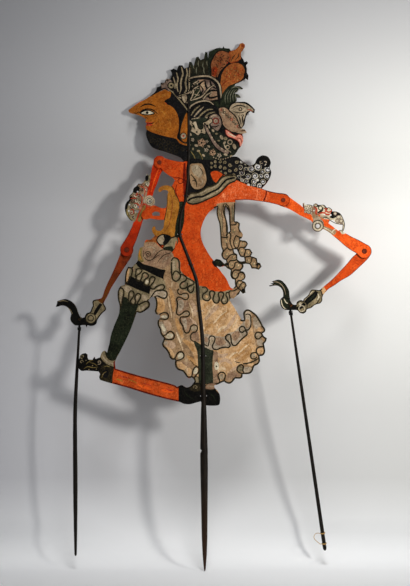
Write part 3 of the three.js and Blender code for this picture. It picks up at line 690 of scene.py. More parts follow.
def solid_sheet(name, body, node, points, faces, paint, top, floor, front, back, seat):
    """Front, back and side walls of a sheet from its painted triangles."""
    px, pz = to_metres(points[:, 0], points[:, 1])
    vertices, index, out_faces, out_paint = [], {}, [], []

    def corner(k, depth):
        if (k, depth) not in index:
            index[(k, depth)] = len(vertices)
            vertices.append((px[k], depth, pz[k]))
        return index[(k, depth)]

    def walls(chosen, depth, depth_of):
        open_edges = {}
        for face in faces[chosen]:
            for start, end in zip(face, np.roll(face, -1)):
                if (end, start) in open_edges:
                    del open_edges[(end, start)]
                else:
                    open_edges[(start, end)] = True
        for start, end in open_edges:
            low = depth_of(start, end)
            out_faces.append((corner(start, depth), corner(start, low), corner(end, low), corner(end, depth)))
            out_paint.append(PAINT_NAMES.index("cut"))

    for face, shade in zip(faces[top], paint[top]):
        out_faces.append(tuple(corner(k, front) for k in face))
        out_paint.append(shade)
    for face, shade in zip(faces[top | floor], paint[top | floor]):
        out_faces.append(tuple(corner(k, back) for k in face[::-1]))
        out_paint.append(shade)
    if seat:
        deep = front + seat[4]
        floor_corners = set(faces[floor].ravel().tolist())
        for face in faces[floor]:
            out_faces.append(tuple(corner(k, deep) for k in face))
            out_paint.append(PAINT_NAMES.index("cut"))
        rim_depth = lambda s, e: deep if s in floor_corners and e in floor_corners else back
        walls(top, front, rim_depth)
        bore = np.hypot(points[:, 0] - seat[0], points[:, 1] - seat[1]) < seat[3] + 0.05
        for start, end in bore_edges(faces[floor], bore):
            out_faces.append((corner(start, deep), corner(start, back), corner(end, back), corner(end, deep)))
            out_paint.append(PAINT_NAMES.index("cut"))
    else:
        walls(top, front, lambda s, e: back)
    used = sorted(set(out_paint))
    slots = {shade: k for k, shade in enumerate(used)}
    materials = [paints[PAINT_NAMES[k]] for k in used]
    sheet = mesh_object(name, vertices, out_faces, materials, [slots[k] for k in out_paint], False)
    join_flat_faces(sheet.data)
    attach(sheet, body)
    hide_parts(node)
    return sheet


def join_flat_faces(mesh):
    """Fewer and larger triangles, with every border between two paints kept."""
    cells = bmesh.new()
    cells.from_mesh(mesh)
    bmesh.ops.dissolve_limit(
        cells, angle_limit=0.002, verts=cells.verts, edges=cells.edges, delimit={"MATERIAL"}
    )
    bmesh.ops.triangulate(cells, faces=cells.faces, quad_method="BEAUTY", ngon_method="BEAUTY")
    cells.to_mesh(mesh)
    cells.free()


def bore_edges(faces, bore):
    """Directed edges of a sunk floor that lie on its bore."""
    return [
        (start, end)
        for face in faces
        for start, end in zip(face, np.roll(face, -1))
        if bore[start] and bore[end]
    ]


# Rods of horn


def rod_ring(x, z, width, depth, sides):
    angles = np.arange(sides) * 2 * math.pi / sides
    return np.stack([x + width / 2 * np.cos(angles), -depth / 2 * np.sin(angles), np.full(sides, z)], 1)


# Heights above the rod's point with the place of its middle, its width and its depth, in millimetres
ROD_STATIONS = np.array([
    (0, 0, 1.0, 1.0), (3, 0, 2.4, 2.4), (10, -0.07, 3.65, 3.65), (20, -0.14, 5.3, 5.3),
    (41, -0.28, 7.1, 7.1), (62, -0.42, 7.65, 7.65), (85, -0.57, 8.3, 8.3), (105, -0.71, 8.9, 8.9),
    (126, -0.85, 9.5, 9.5), (140, -0.95, 9.5, 9.5), (147.1, -1.0, 9.5, 9.5), (150.6, -0.02, 7.5, 9.5),
    (152.4, -1.0, 9.5, 9.5), (165, -1.1, 8.9, 8.9), (177, -1.2, 8.3, 8.3), (192, -1.3, 7.45, 7.45),
    (207, -1.4, 6.6, 6.6), (222, -1.6, 6.1, 6.1), (249, -2.0, 5.7, 5.2), (276, -2.3, 5.55, 4.6),
    (297, -3.5, 5.4, 4.6), (314, -5.3, 5.3, 4.6), (338.5, -8.1, 5.15, 4.6), (362.4, -10.3, 5.1, 4.6),
    (387, -18.9, 4.9, 4.6), (405.4, -26, 4.6, 4.6), (419.6, -31, 4.45, 4.6), (434, -31, 4.25, 4.6),
    (448.2, -28.9, 4.15, 4.6), (465.4, -23.9, 4.1, 4.6), (492.6, -21, 3.9, 4.6), (533.3, -19.8, 3.55, 4.6),
    (560, -20.2, 3.3, 4.6), (588.7, -20.4, 3.0, 4.6),
]) / 1000
SLOT_HALF = 0.0011


def rod_sections(sides=40):
    heights = []
    for low, high in zip(ROD_STATIONS[:-1, 0], ROD_STATIONS[1:, 0]):
        steps = max(1, round((high - low) / 0.004))
        heights += list(low + (high - low) * np.arange(steps) / steps)
    heights.append(ROD_STATIONS[-1, 0])
    line = spline(ROD_STATIONS[:, [0, 1]] * 1000, False, 1.0) / 1000
    sections = []
    for z in heights:
        x = np.interp(z, line[:, 0], line[:, 1])
        width = np.interp(z, ROD_STATIONS[:, 0], ROD_STATIONS[:, 2])
        depth = np.interp(z, ROD_STATIONS[:, 0], ROD_STATIONS[:, 3])
        sections.append(rod_ring(x, z, width, depth, sides))
    return sections


main_rod = mesh_object("main_rod_fine", *loft(rod_sections()), [horn])
slab_points = [
    (x, y, z) for x in (-0.08, 0.04) for y in (-SLOT_HALF, SLOT_HALF) for z in (GRIP_TOP - 0.002, 0.62)
]
slab_faces = [(0, 1, 3, 2), (4, 6, 7, 5), (0, 4, 5, 1), (2, 3, 7, 6), (0, 2, 6, 4), (1, 5, 7, 3)]
slab = mesh_object("slot_slab", slab_points, slab_faces, [horn], None, False)
slot = main_rod.modifiers.new("slot", "BOOLEAN")
slot.operation, slot.solver, slot.object = "DIFFERENCE", "EXACT", slab
depsgraph = bpy.context.evaluated_depsgraph_get()
split_mesh = bpy.data.meshes.new_from_object(main_rod.evaluated_get(depsgraph))
main_rod.modifiers.clear()
main_rod.data = split_mesh
bpy.data.objects.remove(slab)
for polygon in main_rod.data.polygons:
    polygon.use_smooth = abs(abs(polygon.center.y) - SLOT_HALF) > 1e-5
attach(main_rod, "figure")
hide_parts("main_rod")


def rod_frame(palm, slant, lean):
    """Place of an arm rod that hangs from its eye down local -Z."""
    return (
        placed(*palm)
        @ Matrix.Rotation(math.radians(slant), 4, "Y")
        @ Matrix.Translation((0, EYE_DEPTH, 0))
        @ Matrix.Rotation(math.radians(lean), 4, "X")
    )


# Frame and length of each arm rod, its bow in millimetres at shares of its length, and the bow of its foot
LEFT_BOW = [(-1.2, 0.08), (-4.9, 0.31), (-5.9, 0.42), (-5.6, 0.68)]
ARM_RODS = {
    "left": (rod_frame(LEFT_PALM, LEFT_SLANT, LEFT_LEAN), LEFT_ROD_LENGTH, LEFT_BOW, -5.3),
    "right": (rod_frame(RIGHT_PALM, RIGHT_SLANT, RIGHT_LEAN), RIGHT_ROD_LENGTH, [(0, 0.33), (0, 0.66)], 0.0),
}
# Radii in millimetres, evenly from the top to the foot
ROD_RADII = {
    "left": [1.35, 1.7, 2.1, 2.5, 2.75, 2.85, 2.8, 2.3, 1.5],
    "right": [1.35, 1.65, 1.9, 2.05, 2.15, 2.2, 2.3, 2.4, 2.4],
}


def arm_rod_line(side):
    """Points down the middle of an arm rod, with the share of its length at each."""
    _, length, bow, foot = ARM_RODS[side]
    knots = [(0.0, -EYE_RADIUS + 0.0016)]
    knots += [(x / 1000, -length * share) for x, share in bow] + [(foot / 1000, -length)]
    line = spline(np.array(knots) * 1000, False, 2.0) / 1000
    path = np.stack([line[:, 0], np.zeros(len(line)), line[:, 1]], 1)
    run = np.concatenate(([0], np.cumsum(np.linalg.norm(np.diff(path, axis=0), axis=1))))
    return path, run / run[-1]


def arm_rod_radius(side, share):
    radii = ROD_RADII[side]
    return np.interp(share, np.linspace(0, 1, len(radii)), radii) / 1000


def straw_loop():
    """Points of the loose straw thread that stands out from the foot of the right arm rod."""
    matrix, length, _, _ = ARM_RODS["right"]
    upper, lower = length - UPPER_WRAP, length - LOWER_WRAP
    start = float(arm_rod_radius("right", upper / length)) + 2 * PLAY + 0.0008
    knots = [
        (-start, 0, -upper),
        (-start - 0.0015, 0.002, -upper + 0.0004),
        (-start - 0.005, 0.0046, -upper - 0.0006),
        (-start - 0.0076, 0.0012, -upper - 0.0034),
        (-start - 0.007, -0.0034, -upper - 0.006),
        (-start - 0.004, -0.005, -upper - 0.0096),
        (-start - 0.0012, -0.003, -lower + 0.0006),
        (-start, 0, -lower),
    ]
    return [matrix @ Vector(point / 1000) for point in spline(np.array(knots) * 1000, False, 0.4)]


STRAW_PATH = straw_loop()
straw = mesh_object("straw_thread_loop", *swept(STRAW_PATH, 0.0004, 10, 2, 0.0042), [straw_thread])
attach(straw, "right_rod")
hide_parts("right_rod_thread")


def arm_rod(side):
    """Slightly knotty rod with rounded ends."""
    path, share = arm_rod_line(side)
    at = np.concatenate(([0, 0.001, 0.003], np.linspace(0.006, 0.985, 150), [0.99, 0.994, 0.997, 0.999, 1]))
    points = np.stack([np.interp(at, share, path[:, k]) for k in range(3)], 1)
    radii = arm_rod_radius(side, np.minimum(at, 0.985))
    ends = np.minimum((at + 0.0009) / 0.004, (1 - at + 0.0006) / 0.013)
    radii = radii * np.sqrt(np.clip(1 - (1 - np.clip(ends, 0, 1)) ** 2, 0.12, 1))
    radii = radii * (1 - 0.035 * (0.5 + 0.5 * np.sin(at * 61)) * (np.sin(at * 17) > 0))
    rod = mesh_object(f"{side}_arm_rod_fine", *swept(points, radii, 20), [arm_horn])
    rod.data.transform(ARM_RODS[side][0])
    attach(rod, f"{side}_rod")
    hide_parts(f"{side}_arm_rod")


# Thread

STRANDS = 2  # that every thread is twisted from


def wound(side, name, node, distance, height, thread, material, crossing=True):
    """Thread wound round an arm rod in close turns, with its tail laid back over them."""
    matrix, length, _, _ = ARM_RODS[side]
    path, share = arm_rod_line(side)
    middle = distance / length
    centre = np.array([np.interp(middle, share, path[:, k]) for k in range(3)])
    turns = height / (2 * thread)
    angles = np.arange(0, turns * 2 * math.pi, math.pi / 14)
    reach = float(arm_rod_radius(side, middle)) + 0.00015 + thread
    z = centre[2] + height / 2 - height * angles / angles[-1]
    helix = np.stack([centre[0] + reach * np.cos(angles), reach * np.sin(angles), z], 1)
    shells = [swept(helix, thread, 8, STRANDS, 9 * thread)]
    if crossing:
        sweep = np.linspace(0, 1, 24)
        over = reach + 1.5 * thread
        angle = 4.2 + 1.3 * sweep
        x, y = centre[0] + over * np.cos(angle), over * np.sin(angle)
        tail = np.stack([x, y, centre[2] + (0.5 - sweep) * (height + 0.002)], 1)
        shells.append(swept(tail, thread * 0.9, 8, STRANDS, 9 * thread))
    winding_mesh = mesh_object(name, *joined(*shells), [material])
    winding_mesh.data.transform(matrix)
    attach(winding_mesh, f"{side}_rod")
    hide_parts(node)


def hand_tie(side, palm, slant):
    """Thread with a knot in the palm, a stem through the hide and an eye that carries the rod."""
    thread, pitch, knot_thread = 0.00034, 0.0026, 0.00024
    stem_end = EYE_DEPTH - EYE_RADIUS
    angles = np.linspace(0, 2 * math.pi, 49)[:-1]
    ring = np.stack([np.zeros(48), EYE_DEPTH + EYE_RADIUS * np.cos(angles), EYE_RADIUS * np.sin(angles)], 1)
    shells = [swept(ring, thread, 10, STRANDS, pitch, True)]
    stem = np.stack([np.zeros(9), np.linspace(FORE_FRONT + 0.0002, stem_end, 9), np.zeros(9)], 1)
    shells.append(swept(stem, thread, 10, STRANDS, pitch))
    knot = np.linspace(0, 2 * math.pi, 61)[:-1]
    lobes = 0.00042 + 0.00019 * np.cos(3 * knot)
    depth = FORE_FRONT + 0.0003 + 0.00006 * np.sin(3 * knot)
    knot_path = np.stack([lobes * np.cos(2 * knot), depth, lobes * np.sin(2 * knot)], 1)
    shells.append(swept(knot_path, knot_thread, 8, closed=True))
    hitch = np.linspace(0, 2 * math.pi, 25)[:-1]
    for lift in (-0.0004, 0.0004):
        depth = stem_end + lift + 0.0002 * np.sin(hitch)
        turn = np.stack([0.0006 * np.cos(hitch), depth, 0.0006 * np.sin(hitch)], 1)
        shells.append(swept(turn, knot_thread, 8, closed=True))
    for lean, height in ((-0.35, 0.0068), (0.3, 0.0052)):
        up = np.linspace(0, 1, 14)
        across = 0.0016 * up + lean * 0.001 * np.sin(3 * up)
        tail = np.stack([across, 0.0062 + 0.0015 * up, 0.0004 + height * up], 1)
        shells.append(swept(tail, 0.00022 * (1 - 0.5 * up), 8, STRANDS, 0.002))
    tie = mesh_object(f"{side}_hand_thread", *joined(*shells), [black_thread])
    tie.data.transform(placed(*palm) @ Matrix.Rotation(math.radians(slant), 4, "Y"))
    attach(tie, f"{side}_tie")
    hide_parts(f"{side}_hand_tie")


def lashing(number, x, z, width, depth):
    """Two turns of thread round both halves of the rod, with a small knot at the back."""
    thread, pitch = 0.00021, 0.0021
    angles = np.linspace(0, 4 * math.pi, 97)
    rise = np.linspace(-1, 1, 97) * thread * 1.15
    turns = np.stack([x + width * np.sin(angles), depth * np.cos(angles), z + rise], 1)
    shells = [swept(turns, thread, 8, STRANDS, pitch)]
    knot = np.linspace(0, 2 * math.pi, 49)[:-1]
    reach = 0.00042 + 0.00018 * np.cos(3 * knot)
    behind = depth - 0.0001 + 0.0001 * np.sin(3 * knot)
    knot_path = np.stack([x + reach * np.cos(2 * knot), behind, z + reach * np.sin(2 * knot)], 1)
    shells.append(swept(knot_path, 0.0002, 7, closed=True))
    for way in (-1, 1):
        run = np.linspace(0, 1, 10)
        drop = way * 0.0007 * run - 0.0009 * run**2
        tail = np.stack([x + way * 0.0022 * run, depth - 0.0001 - 0.0002 * run, z + drop], 1)
        shells.append(swept(tail, thread * (1 - 0.4 * run), 7, STRANDS, pitch))
    tie = mesh_object(f"lashing_{number}", *joined(*shells), [black_thread])
    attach(tie, "figure")
    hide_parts(f"rod_tie_{number}")


# Pins and washers

WASHER_THICK = 0.0006


def pin(name, body, node, x, z, front, thick, back, head_radius):
    """Turned horn pin with a low ringed head in front and a riveted end behind its washer."""
    shank, end = 0.0012, 0.0019
    last = back + WASHER_THICK + PLAY
    ring = [(0.0003, front), (0.0006, front), (0.00085, front + 0.00025), (0.0012, front + 0.00025)]
    head = [
        (0.0015, front + 0.00005), (head_radius * 0.82, front), (head_radius * 0.94, front + 0.0001),
        (head_radius, front + 0.0003), (head_radius, front + thick), (shank, front + thick),
    ]
    rivet = [(end, last), (end, last + 0.00025), (end * 0.8, last + 0.0004), (0.0004, last + 0.0005)]
    profile = ring + head + [(shank, last)] + rivet
    shell = moved(turned(profile), placed(x, z))
    obj = mesh_object(name, *shell, [pin_horn])
    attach(obj, body)
    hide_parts(node)


def washer(name, body, node, x, z, front):
    """Hand-cut disc of hide with slightly worn edges."""
    bore, outer, thick = 0.0015, 0.0034, WASHER_THICK
    sides = 48
    angles = np.arange(sides) * 2 * math.pi / sides
    uneven = 1 - 0.025 * (1 + np.sin(3 * angles + 60 * x)) - 0.012 * (1 + np.sin(7 * angles + 90 * z))
    profile = [
        (bore, 0.00008), (bore + 0.0001, 0), (outer - 0.00012, 0), (outer, 0.00012),
        (outer, thick - 0.00012), (outer - 0.00012, thick), (bore + 0.0001, thick), (bore, thick - 0.00008),
    ]
    points = []
    for radius, depth in profile:
        reach = radius * uneven if radius > 0.002 else np.full(sides, radius)
        points += [(x + r * math.cos(a), front + depth, z + r * math.sin(a)) for r, a in zip(reach, angles)]
    obj = mesh_object(name, points, ring_faces(len(profile), sides), [washer_hide])
    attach(obj, body)
    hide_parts(node)


arm_rod("left")
arm_rod("right")
wound("left", "left_binding", "left_rod_binding", 0.011, 0.0036, 0.00042, black_thread)
wound("right", "right_binding", "right_rod_binding", 0.0105, 0.0042, 0.0006, black_thread)
for place, above_foot in (("upper", UPPER_WRAP), ("lower", LOWER_WRAP)):
    wound("right", f"{place}_straw_turns", f"right_{place}_wrap", RIGHT_ROD_LENGTH - above_foot,
          0.0016, 0.00038, straw_thread, False)
hand_tie("left", LEFT_PALM, LEFT_SLANT)
hand_tie("right", RIGHT_PALM, RIGHT_SLANT)

TUCK = 0.00025  # from the box of a lashing's solid to the middle of its thread
for number in range(1, 9):
    low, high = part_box(f"rod_tie_{number}")
    centre = (low + high) / 2
    size = (high - low) / 2
    lashing(number, centre.x, centre.z, size.x - TUCK, size.y - TUCK)

SHOULDER_THICK, ELBOW_THICK = 0.0008, 0.0006  # of the pins' heads
for side, place in (("left", LEFT_SHOULDER), ("right", RIGHT_SHOULDER)):
    pin(f"{side}_shoulder_peg", "figure", f"{side}_shoulder_pin", *place, SHEET_FRONT - PLAY - SHOULDER_THICK,
        SHOULDER_THICK, UPPER_BACK + PLAY, head_radius=0.0027)
    washer(f"{side}_shoulder_disc", "figure", f"{side}_shoulder_washer", *place, UPPER_BACK + PLAY)
for side, place in (("left", LEFT_ELBOW), ("right", RIGHT_ELBOW)):
    pin(f"{side}_elbow_peg", f"{side}_upper_arm", f"{side}_elbow_pin", *place, UPPER_FRONT,
        ELBOW_THICK, FORE_BACK + PLAY, head_radius=0.0024)
    washer(f"{side}_elbow_disc", f"{side}_upper_arm", f"{side}_elbow_washer", *place, FORE_BACK + PLAY)


# Painting of the figure
figure = Drawing()

# Grounds, from the crown down
figure.draw("""
    area leaf 182,70 183,40 245,40 252,70 250,112 216,112 214,82 188,78
    area hair sharp=30 140,92 152,93.5 157,87 165,72 172,58 183,40 245,40 262,105 250,135 252,150 290,166
        290,188 266.6,191.5 246.6,184.5 232.7,178.5 222.4,174.2 212.7,171.2 204,169 190,169 176,160 172,110
        160,96
    area face 120,110 135,105.6 144,100.2 151,96 155,93.5 160,91 165,89 169,90 171.5,94 170.5,98 167,99.5
        165,101.5 166,104 171,106 175,110 178,116 179,123 178.5,131 177,137.5 180,141 184,143.5 187,144 186,152
        170,153 140,152 120,130
    area skin sharp=30 184,159 188.4,161 189,166 200,167 206,167 212.7,171.2 222.4,174.2 232.7,178.5 246.6,184.5
        266.6,191.5 300,190 300,250 225,300 160,300 150,200 160,165 172,163
    area ember 140,154 172,156 182,160 180,166 166,170 158,178 150,190 138,182
    area leaf 196,44 229,48 228,70 186,76 180,66 182,48
    area dark 221,84 240,84 244,105 226,108
""")

# Forehead tuft and hair over the ear
figure.draw("""
    area mauve 157,87.5 163,83 168,77.5 172,80 171,88 169,91.5 165,89.5 160,91.5
    area hair 150,96.5 154,90.5 158,86.4 161,85.5 161.4,90 155.5,93.8
""")
for k in range(6):
    x, y = 157.6 + 2.3 * k, 88.8 - 1.9 * k
    figure.curl("black", x, y, 1.5, 120, 300, 0.7, 0.4)
figure.draw("""
    stroke black 1.2 .5 160,91 164,88.4 168.6,90.6
    area hair 171.7,92.5 176.7,95.8 183,103 188.3,111.7 187,116 181.7,120 180,113 176.7,107 170,104.5 164.5,102
        165.5,100 170,97.5
""")

# Face
figure.draw("""
    area cream black 1.1 140.4,113.2 143.4,111.2 147.4,110.4 151.6,111.2 154.4,113.4 150.8,114.6 146.4,115
        142.8,114.4
    dot black 1.5 1 147.2,112.7
    stroke black 1.3 .4 138.6,113.4 142.6,110.4 147.6,109 152.8,110 157.6,113.8
    stroke black 1.4 .4 .3 139.6,107.4 144,105 149.6,104.2 156,106.6
    stroke line .8 .5 133.4,112.4 135.6,113.4 138,112.6 139,110.8
    area red 145,122.8 148,122.2 151,122.6 153.2,121.8 151.4,123.8 152.8,125.2 149.6,125.8 145,125.6
    stroke black .9 .8 .3 144.8,124.2 148.6,123.9 152,123.4 155,121.6
    stroke line .7 .4 .5 144.4,116.8 146.4,117.4 147.6,119
    stroke ochre .9 .2 160,110 164,113 166,117 ; 158,120 161,124 ; 168,118 170,122 170.4,127 ; 154,128.4 159,131
        164,132.4 ; 160,97 163,95.4 166.4,95.6 ; 166,128 170,130.6
""")

# Beard along the jaw
figure.draw("""
    area hair 145.5,129.6 152,132.4 160,135 168,137 176,139 180,143.5 188,146 205,150 206,161 198,161 184,161.5
        178,161 170,155 160,151.5 151,147 146,138
""")
for x, y in pairs(
    "150,135.6 154.6,138 159,139.8 163.6,141.2 168.4,142.6 173,144 177.6,146.8 182.6,149.4 151.6,141 "
    "156.2,143.4 161,145.4 166,147 171,148.6 176,151.6 160,149.2 165.4,151.4 170.4,153.4"
):
    figure.ring("line", x, y, 1.7, 0.7, sides=9)

# Ear, its jewel and the hair in front of it
figure.draw("""
    area face line .8 187,112 183.5,118.5 181,126 180,133 181,139 184.3,142.6 187.4,141.2 188.4,134 189.4,118
    stroke black 1.3 .5 .6 179.8,122 179.6,129 178.4,135.5 178.8,139.4
    stroke brown .8 .5 186.4,119 184.4,126 184.2,131
    dot bone 3.1 183.4,136
    ring line 3.1 .8 183.4,136
    dot red 1.1 183.4,136
""")

# Headband and rosette
figure.draw("""
    band ash 1.3 black .6 .7 .7 169,90 172.5,92 177,97 182,103 187,109.5 188.6,113.5
    band bone 1.3 black .6 .7 .7 173.5,91 178,96.6 184,99.4 188.8,104.8
    area bone black .9 181.5,96.5 184.5,94.2 187,95.5 187.2,100 185,103.4 182.5,101
    dot ash 3.5 sides=12 171.2,85.6
    ring black 3.4 1.1 171.2,85.6
    dot black 1.2 171.2,85.6
""")

# Crown: fan of leaves over the brow
figure.draw("""
    area hair 170,79 173,72 177,69 180.6,64 185,64.5 189,63.5 191.4,72 190,79 190.5,86 188.5,91 183,95.5 178,97
        174,92.5 173,88 175,84
""")
for leaf, wide in (
    ("186.2,66.4 187.3,74 185.4,82 186.4,89 184,94 179,95.8", 1.9),
    ("181.4,67 182.8,74 180.8,82 181,89 179.4,94", 1.8),
    ("190,65.6 189.4,74 189.2,80 189.2,89 187.6,93", 1.5),
    ("176.4,72.4 178,79 176.8,86 178.2,92", 1.6),
    ("173.2,77 175,83 175,89", 1.4),
):
    path = spline(leaf, False, 1.0)
    figure.stroke("ash", leaf, wide, 0.5, 0.4)
    for k in range(3, len(path) - 3, 4):
        figure.dot("hair", path[k][0] + (1.0 if k % 8 < 4 else -1.0), path[k][1], 0.75, sides=6)
    figure.stroke("bone", leaf, 0.6, 0.3, 0.3)

# Crown: spikes of hair between the leaves and the peak
for x, y, foot in pairs(
    "189,62,191 193,57,195 197.4,56,198.4 201.4,53,201.6 205.6,51,204.6 209,52,207.4 190.8,66,192.6 "
    "195.2,61,196.8 199.4,58,200 203.4,56,203.2 207,58,206"
):
    spike = [(x, y), ((x + foot) / 2 - 0.5, (y + 70) / 2), (foot, 71), (foot + 0.5, 75)]
    figure.stroke("line", spike, 1.1, 0.3, 0.5)
for x, y in pairs("194,66 199,64 203.6,66 207.6,63 197,71 204.6,71"):
    figure.stroke("sage", [(x, y + 3), (x - 0.8, y), (x - 0.4, y - 3.4)], 0.8, 0.3, 0.4)

# Crown: two scaled lobes and the curved tip
figure.draw("""
    area bark black 1.1 211.5,77 211,70 210.5,64 212.5,59 215,54.5 218,51.5 222,50.5 226,51.5 229,53 230.4,57
        229.5,61 226.2,66 223.4,69 220.3,72 218.8,76.5 215,78
    area umber 212.4,68 215,66.6 218,68.5 217.4,71.5 216,75.4 213,76 212,72
""")
for row in range(6):
    for step in range(5):
        x, y = 213.4 + 3.2 * step + 1.5 * (row % 2) + 0.7 * row, 74.2 - 4.0 * row + 1.0 * step
        if y > 53 and x < 228.6 and x + 0.9 * y < 287:
            x, y = x + 0.9 * math.sin(5 * x + row), y + 0.8 * math.sin(3 * y + 2 * step)
            figure.curl("black", x, y, 1.2 + 0.5 * math.sin(7 * x), 200 + 90 * math.sin(x * y), 190, 0.7, 0.6)
            figure.dot("red" if (row + 2 * step) % 5 < 2 else "brown", x + 0.6, y + 0.9, 0.65, sides=6)
figure.draw("""
    area brown black 1.1 219.8,84 220.5,79 221,75 223.5,70 227,66 231,63.5 236,62.3 240,63 243.5,66 245.3,70.5
        244.8,75 242.8,79.3 238.7,82.4 234,84.4 229.5,87 226,90.5 223.5,95 220.5,96
""")
for row in range(5):
    for step in range(6):
        x, y = 223.6 + 3.7 * step - 0.5 * row, 71.4 + 3.4 * row - 1.2 * step + 0.25 * step * row
        if (x - 233.6) ** 2 / 92 + (y - 73.5) ** 2 / 66 < 0.95:
            x, y = x + 0.9 * math.sin(4 * x + row), y + 0.8 * math.sin(5 * y + step)
            figure.curl("umber", x, y, 1.3 + 0.4 * math.sin(5 * x), 20 + 80 * math.sin(x + y), 190, 0.7, 0.7)
            figure.dot("olive" if (row + step) % 3 else "red", x + 0.3, y - 0.5, 0.6, sides=6)
figure.draw("""
    stroke umber 1.2 .4 221.6,86 224.4,82.6 228,80.6
    area dark 205,46 229,46 230,52.4 226,51 221,50.2 217,51.4 213.4,55.4 211,60.4 206,60
    area brown umber .8 229,52.8 231,51.4 235.5,49.3 238.5,46.3 240.2,43.4 243,42.4 245.8,44.4 245.8,48 243.4,51
        241.7,54 241.6,57.6 239.2,60.4 236,61.6 231,63 229.4,62 230.4,57
    dot umber 1.5 sides=8 242.4,46
    stroke line .9 .4 .3 231,61.5 233,57.4 235.6,54.4
    stroke line .8 .4 .3 235,60.4 238,57 238.8,53.4
    stroke black 1.6 229.8,62.5 224.2,68 221.2,71.4 218.4,77.5 219,84
    stroke black 2 239.5,60.5 242.5,61.7 245.2,64.7 246.8,70 246.4,75.2 244.5,79.8 240.5,83.1 235,85.4
    dot black 2.6 241,61.8
    dot black 2.8 246.4,74.8
    area black 241,56 247,56 251,66 250,78 246.4,80 247,70 245,64 242,61
""")

# Crown: arch and panels behind it
figure.draw("""
    area mauve 190.5,82 197,80 204,79.6 210,80.6 214,83.6 216.6,90 217.2,97 219,104 219,109 212,106.4 206,103.2
        200,101 194,103 189.6,107 188.6,97 189.8,88
    area leaf 190.5,82 197,80 199.6,82 200.4,90 203,95 201,100 194,103 189.6,107 188.6,97 189.8,88
    area rose 199.4,80.6 204.6,80.2 205.6,86 204,90.4 200.6,88.6 ; 209,92.6 216.8,91.6 217.4,99.4 211,100.6
        207.6,97
    area dark 191.6,92 196,90.6 200.4,92.6 200,98 195,99.6 191.6,97.6 ; 206.4,102.6 212,101.8 218.6,100.6
        220,109 214,107
    stroke bone .65 .4 191.6,86.6 195.4,84 199.4,82.6 ; 190.6,91 195,88.4 199.4,88.8 ; 190,95.6 194,94 198,95.4
        201.6,93.4 ; 193.4,83.4 192.4,89 190.6,93.4 ; 197.6,81.6 197,86.4 194.6,91.6 ; 200,90 197.6,94
        193.6,98.6 ; 206,84 209.6,88 212,93 ; 213.4,88.6 210.4,94 211.6,99
    stroke black 1.9 .6 191,81.5 195.4,87.4 201,82.6 204.5,80.5 ; 204.8,80.2 205.8,86 208,91 206.6,95 ; 201,83.6
        196,86.6 191.4,88.4 ; 208,91.6 213,90.4 217.4,90.8 ; 206,102 212,101.2 218.8,99.8 ; 210,80.8 211.4,85.4
        216.4,89 ; 207,96.6 211.6,98 218,96
    stroke black 1.5 .5 199,84 203,90 200,96 203.4,101 ; 211,87.6 208.4,93 209.6,99 ; 191,86 189.6,93 192.4,99.6
    band bone 1.3 black .85 182.5,95 190,92.3 194.6,88.5 198.4,86 ; 190.4,100.6 197,98.7 202,96.4 206,92
        210.4,87.4 215.4,84.6 ; 190.4,93.6 193.6,90 192.4,96 190.2,100 ; 203,99.8 207,94.7 211.4,92.6 ; 193,84
        198,80.8
    band bone 1.6 black .8 .8 .8 188.5,79.4 191,78 196,76.8 203,76.1 208,76.3 212,77.8 216,80.5 218.9,84
        220.2,88 220.7,93 221.4,98 222.8,103 224,107
    stroke black 1.3 189,82 191.5,80.6 198,79 204,78.6 209,79.4 213,81.8 215.8,85.4 217.2,90 217.8,96 219,102
        220.8,109
""")

# Crown: lower oval with its diagonal bands
figure.draw("""
    area hair 189.6,118.5 188.6,111 190.5,106.5 194,103.8 199,101.6 205,100.8 211,102.4 217,107 222,114 225,122
        227,131 219,131 206,121 196,121.5
""")
for band, shade in (
    ("191,115.6 195,109.6 200,105.6", "ash"),
    ("194,117 198.6,111.6 203.8,106.8", "bone"),
    ("198.4,117.6 203,113 208,109.8 213,109.4", "ash"),
    ("191.4,119.4 197,118.4 203,118.8 209,116.7 214.6,114", "bone"),
    ("205,117 209,113.6 215,112.2", "ash"),
):
    figure.stroke(shade, band, 1.5, 0.5, 0.4)
    path = spline(band, False, 1.0)
    for k in range(2, len(path) - 2, 3):
        figure.dot("hair", path[k][0], path[k][1], 0.45, sides=5)
figure.draw("""
    band bone 1.3 black .7 .7 .6 188.6,119 188.2,112 190,107.2 194,104 199,101.8 205,100.9 210,102 213.6,104.8
    stroke black 1.8 190.8,109.6 196,105.3 202,103.4 207.5,103.7 212,106.7 216,110.8 219,115 222.5,121 225,129
        229,136.5
""")

# Crown: feather clump behind
figure.draw("""
    area dark 220,108 221.6,96 225,90 230,85.4 236,84.6 241,86.8 246,90 243,92 240,90 239.6,94 243.6,97.6
        241,100.4 238,98.6 237,103.4 230,105.4 226,108.6
""")
for k in range(5):
    x = 225.5 + 2.6 * k
    barb = [(x, 103.6 - 0.7 * k), (x - 0.4, 97 - 0.5 * k), (x + 1.6, 92 - 0.4 * k), (x + 3.6, 89.4)]
    figure.stroke("sage", barb, 0.6, 0.2, 0.2)
figure.draw("""
    stroke sage .8 .3 231,88.6 234.6,86.9 238.6,87.6 241.8,89.6
    stroke sage .7 .3 235,98.4 237.6,96 241,96.8
""")

